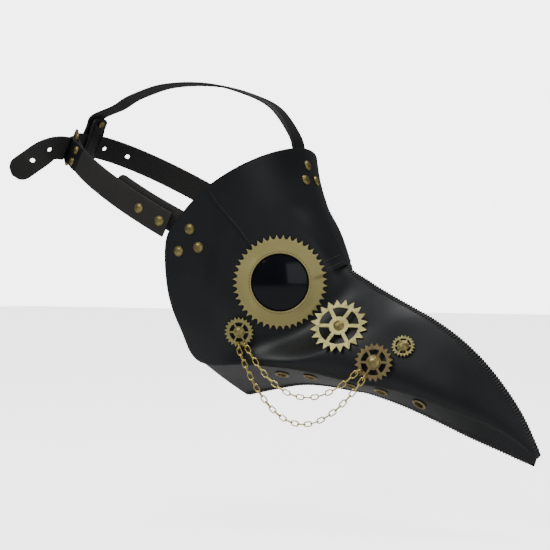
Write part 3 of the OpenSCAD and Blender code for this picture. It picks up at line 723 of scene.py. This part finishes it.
def ridgeNormal(s, v):
    n = skinNormal(s, v)
    return unit(n * [1, 0, 1]) if v < 0.01 else n


def keelNormal(s, w):
    n = chinNormal(s, w)
    return unit(n * [1, 0, 1]) if w > 0.99 else n


for name, stitches in (("ridgeStitching", whipStitches(skin, ridgeNormal, (3.16, 10.9), 0.0, 1)),
                       ("keelStitching", whipStitches(chin, keelNormal, (4.05, 10.85), 1.0, -1))):
    claim(sew(name, stitches, stitching["whipRadius"], waxedThread), "mask", "mask_leather")


# running stitches along a line of points with normals
def runningStitches(points, normals, pitch, radius, share=0.66):
    marks, _, run = spaced(points, pitch)
    stitches = []
    for k in range(len(marks) - 1):
        a, b = marks[k], marks[k] + (marks[k + 1] - marks[k]) * share
        arc = []
        for t in np.linspace(0, 1, 6):
            m = a + (b - a) * t
            p = np.array([np.interp(m, run, points[:, i]) for i in range(3)])
            n = unit([np.interp(m, run, normals[:, i]) for i in range(3)])
            arc.append(p + n * (radius * 1.1 * math.sin(math.pi * t) ** 0.6 - radius * 0.7))
        stitches.append(arc)
    return stitches


def lapStitches(inset):
    b = np.linspace(0.02, 0.97, 240)
    edge = browPoint(np.ones_like(b), b, mask["leather"] + mask["gap"])
    nearby = browPoint(np.full_like(b, 0.9), b, mask["leather"] + mask["gap"])
    way = unit(nearby - edge)
    share = inset / np.maximum(np.linalg.norm(nearby - edge, axis=1) / 0.1, 1e-3)
    a = 1 - np.minimum(share, 0.6)
    points = browPoint(a, b, mask["leather"] + mask["gap"])
    above = browPoint(a, b, mask["leather"] + mask["gap"] + 1)
    away = np.linalg.norm(points - eye - ((points - eye) @ eyeNormal)[:, None] * eyeNormal, axis=1)
    keep = away > goggle["lens"] + goggle["band"] - 1
    return points, unit(above - points), keep


def splitRuns(points, normals, keep):
    runs, start = [], None
    for i, flag in enumerate(list(keep) + [False]):
        if flag and start is None:
            start = i
        if not flag and start is not None:
            if i - start > 4:
                runs.append((points[start:i], normals[start:i]))
            start = None
    return runs


lapStitchList = []
secondInset = stitching["lapInset"] + stitching["lapSecond"]
for inset, reach in ((stitching["lapInset"], 1), (secondInset, stitching["lapSecondReach"])):
    points, normals, keep = lapStitches(inset)
    keep &= np.linspace(0.02, 0.97, 240) < reach
    for run, runNormals in splitRuns(points, normals, keep):
        made = runningStitches(run, runNormals, stitching["lapPitch"], stitching["lapRadius"])
        lapStitchList += made + [[p * flip for p in stitch] for stitch in made]
claim(sew("lapStitching", lapStitchList, stitching["lapRadius"], waxedThread), "mask", "mask_leather")

s = np.linspace(4.15, 10.75, 400)
edge, inward = skin(s, np.ones_like(s)), skin(s, np.full_like(s, 0.92))
share = 0.08 * stitching["jawInset"] / np.linalg.norm(edge - inward, axis=1)
jawLine = onRight(skin(s, 1 - share))
made = runningStitches(jawLine, skinNormal(s, 1 - share), stitching["jawPitch"], stitching["lapRadius"])
jawStitchList = made + [[p * flip for p in stitch] for stitch in made]
claim(sew("jawStitching", jawStitchList, stitching["lapRadius"], waxedThread), "mask", "mask_leather")
print("stitching ready")


# goggles
ringLift = 2 * mask["gap"] + mask["leather"]


def ringBase(points):
    # the ring rests on the forehead panel above the lap and settles on the side panel below it
    x, y = points[:, 0], points[:, 1]
    lapLine = np.where(x < 0, -x * 1.22, x * 0.22)
    low = smooth((lapLine - y) / 5.0)
    return ringLift - low * (mask["leather"] + 0.3) * smooth((np.hypot(x, y) - 24) / 10)


def makeEyeRing():
    inner, root = goggle["lens"] + 0.3, goggle["lens"] + goggle["band"]
    tip = root + goggle["tooth"]
    teeth, perTooth = goggle["teeth"], 6
    count = teeth * perTooth
    angles = np.linspace(0, 2 * math.pi, count, endpoint=False)
    wave = np.array([0, 0.04, 0.42, 1, 0.42, 0.04])[np.arange(count) % perTooth]
    outline = root + (tip - root) * wave
    shares = np.array([0, 0.06, 0.2, 0.4, 0.6, 0.8, 0.93, 1.0])
    grid = np.array([[(inner + (root - 0.8 - inner) * q) for a in angles] for q in shares[:-1]] + [list(outline)])
    x, y = grid * np.cos(angles), grid * np.sin(angles)
    flat = np.stack([x.ravel(), y.ravel()], 1)
    base = ringBase(flat)
    u, w, n = basis(eyeNormal)
    rows = len(grid)
    puff = np.repeat([-0.35, 0, 0.12, 0.18, 0.18, 0.1, 0, -0.15], count)
    top = eye + flat[:, :1] * u + flat[:, 1:] * w + (base + goggle["thick"] + puff)[:, None] * n
    bottom = eye + flat[:, :1] * u + flat[:, 1:] * w + base[:, None] * n
    total = rows * count
    faces, slots = [], []
    for i in range(rows - 1):
        for j in range(count):
            k = (j + 1) % count
            a, b, c, d = i * count + j, i * count + k, (i + 1) * count + k, (i + 1) * count + j
            faces += [[a, d, c, b], [a + total, b + total, c + total, d + total]]
            slots += [0, 1]
    for j in range(count):
        k = (j + 1) % count
        last = (rows - 1) * count
        faces += [[last + j, last + j + total, last + k + total, last + k], [j, k, k + total, j + total]]
        slots += [0, 0]
    points = np.concatenate([top, bottom])
    mesh = meshFrom("eyeRing_right", points, faces, [goldLeather, cutLeather], slots, angle=50)
    faceOut(mesh)
    piece = addObject("eyeRing_right", mesh)
    bevel(piece, 0.25, 2, 50)
    return bake(piece, 50)


def makeRingStitches():
    u, w, n = basis(eyeNormal)
    angles = np.linspace(0, 2 * math.pi, 300)
    radius = goggle["lens"] + stitching["ringInset"]
    flat = np.stack([radius * np.cos(angles), radius * np.sin(angles)], 1)
    top = ringBase(flat) + goggle["thick"] + 0.12
    points = eye + flat[:, :1] * u + flat[:, 1:] * w + top[:, None] * n
    normals = np.tile(n, (len(flat), 1))
    stitches = runningStitches(points, normals, stitching["ringPitch"], stitching["ringRadius"], 0.42)
    return sew("eyeRingStitching_right", stitches, stitching["ringRadius"], goldThread)


def makeLens():
    rim, r, dome = ringLift - 0.5, goggle["lens"], goggle["dome"]
    ball = (r * r + dome * dome) / (2 * dome)
    arc = math.asin(r / ball)
    outer = [(ball * math.sin(q), rim + ball * (math.cos(q) - math.cos(arc)))
             for q in (arc * k / 16 for k in range(17))]
    low, wide = -mask["leather"], r + goggle["flange"]
    profile = [(0, low - 2.6), (wide, low - 2.6), (wide, low - 1.2), (r, low - 1.2), (r, rim - 0.3)] + outer[::-1]
    pattern = lathe("lensPattern", profile, 96)
    return scatter("lens_right", pattern, [seatAt(eye, eyeNormal)], darkGlass, angle=40)


def makeLensBacking():
    r, t = goggle["lens"], mask["leather"]
    low = -2 * t - 2.8
    profile = [(r - 2, low + 0.3), (r - 1.6, low), (r + 8.6, low), (r + 9, low + 0.3), (r + 9, low + t),
               (r - 2, low + t), (r - 2, low + 0.3)]
    pattern = lathe("backingPattern", profile, 96)
    return scatter("lensBacking_right", pattern, [seatAt(eye, eyeNormal)], fleshLeather, angle=40)


claimPair(makeEyeRing(), "gold_leather", "eye_ring")
claimPair(makeRingStitches(), "gold_leather")
claimPair(makeLens(), "dark_glass", "lens")
claimPair(makeLensBacking(), "lining_leather", "lens_backing")
print("goggles ready")

# straps
band = {"x": -97, "a": 125, "b": 80, "z": 9, "k": 0.54, "width": 24, "thick": 2.2, "flap": 105, "buckle": 31,
        "anchorUp": 6}
bandWide = unit([band["k"], 0, 1])
strapSet = [strapLeather, fleshLeather, cutLeather]


def bandPoint(degrees, off=0.0):
    a = np.radians(np.asarray(degrees, float))
    x = band["x"] - (band["a"] + off) * np.cos(a)
    return np.stack([x, -(band["b"] + off) * np.sin(a), band["z"] - band["k"] * x], -1)


def resample(points, step=2.2):
    fine = along(points, np.linspace(0, len(points) - 1, (len(points) - 1) * 12 + 1))
    return spaced(fine, step)[1]


# strap with rounded long edges and a creased line near each edge; ends is a pair of end roundings
def strap(name, path, width, thick, ends=(0, 0), wide=None):
    path = np.asarray(path, float)
    count = len(path)
    way = unit(np.gradient(path, axis=0))
    across = np.tile(bandWide, (count, 1)) if wide is None else np.tile(unit(wide), (count, 1))
    across = unit(across - way * np.sum(across * way, axis=1)[:, None])
    out = unit(np.cross(way, across))
    run = np.concatenate([[0], np.cumsum(np.linalg.norm(np.diff(path, axis=0), axis=1))])
    half = np.full(count, width / 2)
    for distance, radius in ((run, ends[0]), (run[-1] - run, ends[1])):
        if radius:
            inside = np.clip(distance, 0, radius)
            curve = np.sqrt(np.maximum(radius ** 2 - (radius - inside) ** 2, 0.2))
            half = np.minimum(half, width / 2 - radius + curve)
    t = thick / 2
    groove, deep = (0.83, 0.85, 0.87), t - 0.22
    right = [(0.4, t + 0.04), (groove[0], t), (groove[1], deep), (groove[2], t), (0.965, t * 0.92), (1, t * 0.45)]
    left = [(-x, z) for x, z in right[::-1]]
    under = [(1, -t * 0.45), (0.96, -t * 0.95), (0.5, -t), (0, -t), (-0.5, -t), (-0.96, -t * 0.95)]
    profile = [(-1, -t * 0.45)] + left + [(0, t + 0.06)] + right + under
    size = len(profile)
    edgeSpans = {0, 13, 19, 14}
    fleshSpans = {15, 16, 17, 18}
    points = np.concatenate([[path[i] + across[i] * half[i] * a + out[i] * b for a, b in profile]
                             for i in range(count)])
    faces, slots = [], []
    for i in range(count - 1):
        for j in range(size):
            k = (j + 1) % size
            faces.append([i * size + j, i * size + k, (i + 1) * size + k, (i + 1) * size + j])
            slots.append(2 if j in edgeSpans else 1 if j in fleshSpans else 0)
    faces += [list(range(size))[::-1], list(range((count - 1) * size, count * size))]
    slots += [2, 2]
    mesh = meshFrom(name, points, faces, strapSet, slots, angle=50)
    faceOut(mesh)
    finishMesh(mesh, 50)
    return addObject(name, mesh)


for side, sign in sides.items():
    turns = np.linspace(117, 75, 60)
    settle = smooth((turns - 93) / 14) * 1.4
    path = (bandPoint(turns, -band["thick"] - 1.1 - settle) + bandWide * band["anchorUp"]) * [1, sign, 1]
    path = path if sign > 0 else path[::-1]
    piece = strap("anchorStrap_" + side, path, band["width"] - 1, band["thick"], (8, 8))
    claim(piece, "mask", "strap_leather", "anchor_strap_" + side)

buckle = {"wire": 1.6, "length": 20, "gap": 0.3, "slot": 2.5, "prongSlot": 2.3, "hole": 2.3, "holeTurns": (-14, -30),
          "tailHoles": (4, 8)}
foldR = buckle["wire"] + buckle["gap"] + band["thick"] / 2
bx = unit(bandPoint(band["buckle"] + 1) - bandPoint(band["buckle"] - 1))
bz = unit(np.cross(bx, bandWide))
bar = bandPoint(band["buckle"]) + bz * foldR


def local(x, z, y=0.0):
    return bar + bx * x + bz * z + bandWide * y


def boxCut(name, low, high):
    points = [local(x, z, y) for x in (low[0], high[0]) for y in (low[1], high[1]) for z in (low[2], high[2])]
    faces = [[0, 1, 3, 2], [4, 6, 7, 5], [0, 4, 5, 1], [2, 3, 7, 6], [0, 2, 6, 4], [1, 5, 7, 3]]
    return addObject(name, meshFrom(name, points, faces, []))


def makeBuckleStrap():
    lead = [bandPoint(a) for a in np.arange(band["flap"], band["buckle"], -3.0)]
    fold = [local(foldR * math.cos(q), foldR * math.sin(q)) for q in map(math.radians, range(-90, -271, -30))]
    tab = [local(x, foldR - drop) for x, drop in ((5, 0.5), (9, 2.1), (13, 4), (18, 5.2), (24, 7.4), (28, 9.4))]
    piece = strap("buckleStrap", resample(lead + fold + tab, 1.6), band["width"], band["thick"])
    half = buckle["slot"]
    slotCut = boxCut("slotCut", (-foldR - 2.2, -half, -foldR - 2.2), (4, half, foldR + 2.2))
    return cut(piece, [slotCut])


clearZ = foldR + band["thick"] + buckle["gap"]
tail = {"length": 63, "steps": 13, "down": unit([-0.8, -0.4, -0.6])}


def makeBilletStrap():
    low = -buckle["wire"] - band["thick"] / 2 - 0.5
    front, mid = -buckle["length"], -buckle["length"] / 2
    lead = [local(front - 9, low - 2.2), local(front - 2, low), local(front + 3, low + 1),
            local(mid, low + 0.35 * (clearZ - low) + 1), local(mid + 4, clearZ - 2.3), local(-0.5, clearZ)]
    point = local(3, clearZ + 0.8)
    tailPath = [point]
    for i in range(tail["steps"]):
        out = unit(bx + bz * 1.2)
        bend = smooth(i / 6)
        point = point + unit(out + (tail["down"] - out) * bend) * tail["length"] / tail["steps"]
        tailPath.append(point)
    path = [bandPoint(a) for a in np.arange(-band["flap"], 3.0, 3.0)] + lead + tailPath
    piece = strap("billetStrap", resample(path, 2.0), band["width"], band["thick"], (0, 11.5))
    half = buckle["prongSlot"]
    cutters = [boxCut("prongSlot", (mid - 4.5, -half, -8), (mid + 6, half, 14))]
    for i in buckle["tailHoles"]:
        way = unit(tailPath[i + 1] - tailPath[i - 1])
        across = unit(bandWide - way * (bandWide @ way))
        cutters.append(rod("holeCut", tailPath[i], np.cross(way, across), buckle["hole"], 5, 32))
    for a in buckle["holeTurns"]:
        way = bandPoint(a + 1) - bandPoint(a - 1)
        cutters.append(rod("holeCut", bandPoint(a), np.cross(way, bandWide), buckle["hole"], 5, 32))
    return cut(piece, cutters)


claim(makeBuckleStrap(), "mask", "strap_leather", "buckle_strap")
claim(makeBilletStrap(), "mask", "strap_leather", "billet_strap")

loopOut = band["thick"] + 1.5
crownWidth = 20


def roundBand(w, o):
    return bandPoint(0) + bandWide * w + np.array([-bandWide[2], 0, bandWide[0]]) * o


def makeCrownStrap():
    inside = -band["thick"] / 2 - 1.7
    start = browPoint(np.array([0.36]), np.array([0.0]), inside)[0]
    edge = browPoint(np.array([0.0]), np.array([0.0]), inside)[0]
    over = [[23, 0, 121], [18, 0, 130], [11, 0, 140], [2, 0, 150], [-10, 0, 158], [-26, 0, 165], [-46, 0, 172],
            [-66, 0, 177], [-88, 0, 180], [-110, 0, 181], [-130, 0, 180], [-150, 0, 176], [-168, 0, 171],
            [-184, 0, 164]]
    lower = band["width"] / 2 + 0.6 + band["thick"] / 2
    loop = [roundBand(30, loopOut - 1)] + [roundBand(w, loopOut) for w in (18, 0, 1 - lower)]
    loop += [roundBand(1 - lower - loopOut * math.sin(math.radians(q)), loopOut * math.cos(math.radians(q)))
             for q in range(30, 151, 30)]
    loop += [roundBand(w, -loopOut) for w in (1 - lower, 0, 14)]
    loop += [roundBand(20, 1 - loopOut), roundBand(30, 1.2 - loopOut)]
    path = [start, (start + edge) / 2, edge] + over + loop
    return strap("crownStrap", resample(path, 2.2)[::-1], crownWidth, band["thick"], (4, 4), wide=(0, 1, 0))


claim(makeCrownStrap(), "mask", "strap_leather", "crown_strap")
print("straps ready")

# rivets and eyelets
rivetSize = {"cap": 4.6, "height": 2.2, "shank": 1.8}


def capProfile(r, h, depth):
    dome = [(r * 0.86 * math.cos(q), 0.62 + (h - 0.62) * math.sin(q)) for q in np.linspace(0.12, math.pi / 2, 9)]
    dome[-1] = (0, dome[-1][1])
    washer = [(0, -depth - 1.1), (r * 0.45, -depth - 1.1), (r * 0.7, -depth - 0.7), (r * 0.7, -depth)]
    shank = [(rivetSize["shank"], -depth), (rivetSize["shank"], 0)]
    rim = [(r * 0.96, 0), (r, 0.2), (r, 0.45), (r * 0.95, 0.66), (r * 0.89, 0.6)]
    return washer + shank + rim + dome


def rivets(name, seats, depth, cadNode, r=4.6):
    pattern = lathe(name + "Pattern", capProfile(r, rivetSize["height"], depth), 36)
    piece = scatter(name, pattern, seats, rivetBrass, angle=40)
    return claim(piece, "mask", "rivet_brass", cadNode)


def onBrow(a, b):
    a, b = np.array([a]), np.array([b])
    p = browPoint(a, b, mask["leather"] + mask["gap"])[0]
    return seatAt(p, browPoint(a, b, 10.0)[0] - browPoint(a, b, 0.0)[0])


rivets("foreheadRivets", [onBrow(0.22, 0.0), onBrow(0.36, 0.055), onBrow(0.36, -0.055)], 6.45, "forehead_rivets")
for side, sign in sides.items():
    turnSide = np.array([1, sign, 1])
    flapSeats = [seatAt(skin(s, v) * turnSide, skinNormal(s, v, 0.2, 0.05) * turnSide)
                 for s, v in ((0.955, 0.835), (1.357, 0.902), (1.466, 0.778))]
    rivets("flapRivets_" + side, flapSeats, 6.0, "flap_rivets_" + side)
    strapSeats = []
    for a in (101.5, 91.5):
        out = np.cross(bandPoint(a + 1) - bandPoint(a - 1), bandWide)
        strapSeats.append(seatAt(bandPoint(a, band["thick"] / 2) * turnSide, out * turnSide))
    rivets("strapRivets_" + side, strapSeats, 5.6, "strap_rivets_" + side)

tilt = math.radians(22)
buckleOut = bz * math.cos(tilt) + bx * math.sin(tilt)
rivets("buckleRivets", [seatAt(local(19, foldR - 4.4, y), buckleOut) for y in (-6, 6)], 5.2, "buckle_rivets", 4.0)
crownOut = np.array([-bandWide[2], 0, bandWide[0]])
crownSeat = seatAt(roundBand(25, loopOut + band["thick"] / 2 - 0.6), crownOut)
rivets("crownRivet", [crownSeat], loopOut * 2 + 1.6, "crown_rivets")

eyeletProfile = [(3.8, -3.0), (4.2, -3.1), (4.65, -3.0), (4.65, 0.4), (6.2, 0.4), (6.4, 0.6), (6.25, 0.95),
                 (5.7, 1.3), (5.0, 1.5), (4.4, 1.45), (3.95, 1.2), (3.8, 0.8), (3.8, -3.0)]
eyeletPattern = lathe("eyeletPattern", eyeletProfile, 40)
ventSeats = [seatAt(chin(r, mask["ventShare"]), chinNormal(r, mask["ventShare"])) for r in mask["ventRibs"]]
vents = scatter("ventEyelets_right", eyeletPattern, ventSeats, eyeletBrass, angle=40)
claimPair(vents, "eyelet_brass", "vent_eyelets")
print("rivets ready")


# chains by geometry nodes: links set along a sagging line
gearSize = {"medium": (16.5, 3.2, 3.2), "small": (13.3, 2.4, 3.0), "thick": 1.2, "hole": 1.3, "jump": 3.0,
            "tilt": 25}
linkSize = {"length": 8.2, "width": 4.9, "wire": 0.55, "lean": 9}
mediumSeat = (skin(7.041, 0.604), skinNormal(7.041, 0.604, 0.8, 0.25))
smallSeat = (skin(3.554, 0.706), skinNormal(3.554, 0.706, 0.4, 0.1))


def hook(seat, size, degrees):
    tip, tooth, lift = size
    u, w, n = basis(seat[1])
    a, q = math.radians(degrees), math.radians(gearSize["tilt"])
    r = tip - tooth - gearSize["hole"] + 2 * gearSize["jump"] * math.cos(q)
    up = lift + gearSize["thick"] / 2 + 2 * gearSize["jump"] * math.sin(q)
    return seat[0] + n * up + u * r * math.sin(a) - w * r * math.cos(a)


def makeLink():
    mid, flat = linkSize["width"] / 2 - linkSize["wire"], (linkSize["length"] - linkSize["width"]) / 2
    centre, way = [], []
    for k in range(11):
        q = math.radians(-90 + 18 * k)
        centre.append((flat + mid * math.cos(q), mid * math.sin(q), 0))
        way.append((math.cos(q), math.sin(q), 0))
    centre += [(-x, -y, 0) for x, y, z in centre]
    way += [(-x, -y, 0) for x, y, z in way]
    around = 8
    points, faces = [], []
    for c, d in zip(centre, way):
        for j in range(around):
            q = 2 * math.pi * j / around
            spoke = math.cos(q) * np.array(d) + math.sin(q) * np.array((0, 0, 1))
            points.append(np.array(c) + linkSize["wire"] * spoke)
    count = len(centre)
    for i in range(count):
        for j in range(around):
            a, b = i * around, ((i + 1) % count) * around
            faces.append([a + j, b + j, b + (j + 1) % around, a + (j + 1) % around])
    mesh = meshFrom("linkPattern", points, faces, [], angle=80)
    faceOut(mesh)
    return addObject("linkPattern", mesh)


def chainSeats(a, b, sag, count):
    lean = math.radians(linkSize["lean"])
    down = np.array([0, -math.sin(lean), -math.cos(lean)])
    t = np.linspace(0, 1, 200)[:, None]
    line = a + (b - a) * t + down * 4 * sag * t * (1 - t)
    run = np.concatenate([[0], np.cumsum(np.linalg.norm(np.diff(line, axis=0), axis=1))])
    flat = (linkSize["length"] - linkSize["width"]) / 2
    face = unit(smallSeat[1] + mediumSeat[1])

    def at(distance):
        return np.array([np.interp(distance, run, line[:, k]) for k in range(3)])

    seats = []
    for k, s in enumerate(np.linspace(flat, run[-1] - flat, count)):
        x = unit(at(s + flat) - at(s - flat))
        n = unit(face - x * (face @ x))
        z = n if k % 2 == 0 else np.cross(x, n)
        seats.append((at(s), turnOf(x, np.cross(z, x), z)))
    return seats


for name, small, medium, sag, count in (("outer", 0, -28, 50, 27), ("inner", 29, -56, 31, 19)):
    a, b = hook(smallSeat, gearSize["small"], small), hook(mediumSeat, gearSize["medium"], medium)
    piece = scatter(name + "Chain_right", makeLink(), chainSeats(a, b, sag, count), goldWire, angle=80)
    claim(piece, name + "_chain_right", "gold_wire", name + "_chain_right")
print("chains ready")


# machined pieces keep the CAD shape, with softened edges
def polished(cadNode, name, material, slotName, body, width=0.12, angle=28):
    mesh = nodes[cadNode].data.copy()
    shape = bmesh.new()
    shape.from_mesh(mesh)
    bmesh.ops.remove_doubles(shape, verts=shape.verts, dist=2e-6)
    bmesh.ops.dissolve_limit(shape, angle_limit=math.radians(1), verts=shape.verts, edges=shape.edges)
    shape.to_mesh(mesh)
    shape.free()
    mesh.materials.clear()
    mesh.materials.append(material)
    piece = addObject(name, mesh)
    if width:
        bevel(piece, width, 1, 40)
    piece = bake(piece, angle)
    return claim(piece, body, slotName, cadNode)


for side in sides:
    polished("large_gear_" + side, "largeGear_" + side, paleBrass, "pale_brass", "large_gear_" + side)
    polished("tiny_gear_" + side, "tinyGear_" + side, paleBrass, "pale_brass", "tiny_gear_" + side)
    polished("medium_gear_" + side, "mediumGear_" + side, darkBronze, "dark_bronze", "mask")
    polished("small_gear_" + side, "smallGear_" + side, paleBrass, "pale_brass", "mask")
    for size in ("large", "medium", "small", "tiny"):
        name = size + "GearRivet_" + side
        polished(size + "_gear_rivet_" + side, name, rivetBrass, "rivet_brass", "mask", 0, 40)
polished("chain_rings_right", "chainRings_right", goldWire, "gold_wire", "mask", 0, 80)
polished("buckle_frame", "buckleFrame", buckleBrass, "buckle_brass", "buckle", 0, 60)
polished("buckle_prong", "buckleProng", buckleBrass, "buckle_brass", "prong", 0, 50)
print("metalwork ready")

# floor, light
studio = {"floorDrop": 0.06, "floorHalf": 6000, "floorGlow": 3.0, "key": 20, "fill": 6, "top": 20,
          "world": 0.17, "seen": 5.0}


def paleMaterial():
    material, tree, shader = startMaterial("paleFloor")
    coords = tree.nodes.new("ShaderNodeTexCoord").outputs["Object"]
    tone = rampNode(tree, noiseNode(tree, coords, 2.0, 2), (0.3, 0.7, 0, 1))
    tree.links.new(mixColor(tree, tone, (0.86, 0.86, 0.86), (0.9, 0.9, 0.9)), shader.inputs["Base Color"])
    shader.inputs["Roughness"].default_value = 0.9
    shader.inputs["Emission Color"].default_value = (1, 1, 1, 1)
    rays = tree.nodes.new("ShaderNodeLightPath")
    glow = mathNode(tree, "MULTIPLY", rays.outputs["Is Camera Ray"], studio["floorGlow"])
    tree.links.new(glow, shader.inputs["Emission Strength"])
    return material


floorZ = cadBox[0][2] - studio["floorDrop"]
half = studio["floorHalf"]
floorCorners = [(x * half, y * half, floorZ / mm) for x, y in ((-1, -1), (1, -1), (1, 1), (-1, 1))]
floor = addObject("floor", meshFrom("floor", floorCorners, [[0, 1, 2, 3]], [paleMaterial()]))


def areaLight(name, place, target, size, power):
    data = bpy.data.lights.new(name, "AREA")
    data.shape = "SQUARE"
    data.size = size
    data.energy = power
    lamp = bpy.data.objects.new(name, data)
    scene.collection.objects.link(lamp)
    lamp.location = place
    lamp.rotation_euler = (Vector(target) - Vector(place)).to_track_quat("-Z", "Y").to_euler()


for name, place, target, size in (("key", (-0.3, -1.5, 1.5), (0.05, 0, 0), 0.9),
                                  ("fill", (1.8, -1.0, 0.5), (0.1, 0, -0.05), 1.2),
                                  ("top", (0.3, 0.3, 1.9), (0.05, 0, 0), 1.0)):
    areaLight(name + "Light", place, target, size, studio[name])
world = bpy.data.worlds.new("paleWorld")
scene.world = world
world.use_nodes = True
worldTree = world.node_tree
backdrop = worldTree.nodes["Background"]
rays = worldTree.nodes.new("ShaderNodeLightPath")
extra = mathNode(worldTree, "MULTIPLY", rays.outputs["Is Camera Ray"], studio["seen"] - studio["world"])
strength = mathNode(worldTree, "ADD", extra, studio["world"])
worldTree.links.new(strength, backdrop.inputs["Strength"])
backdrop.inputs["Color"].default_value = (1, 1, 1, 1)
print("studio ready")
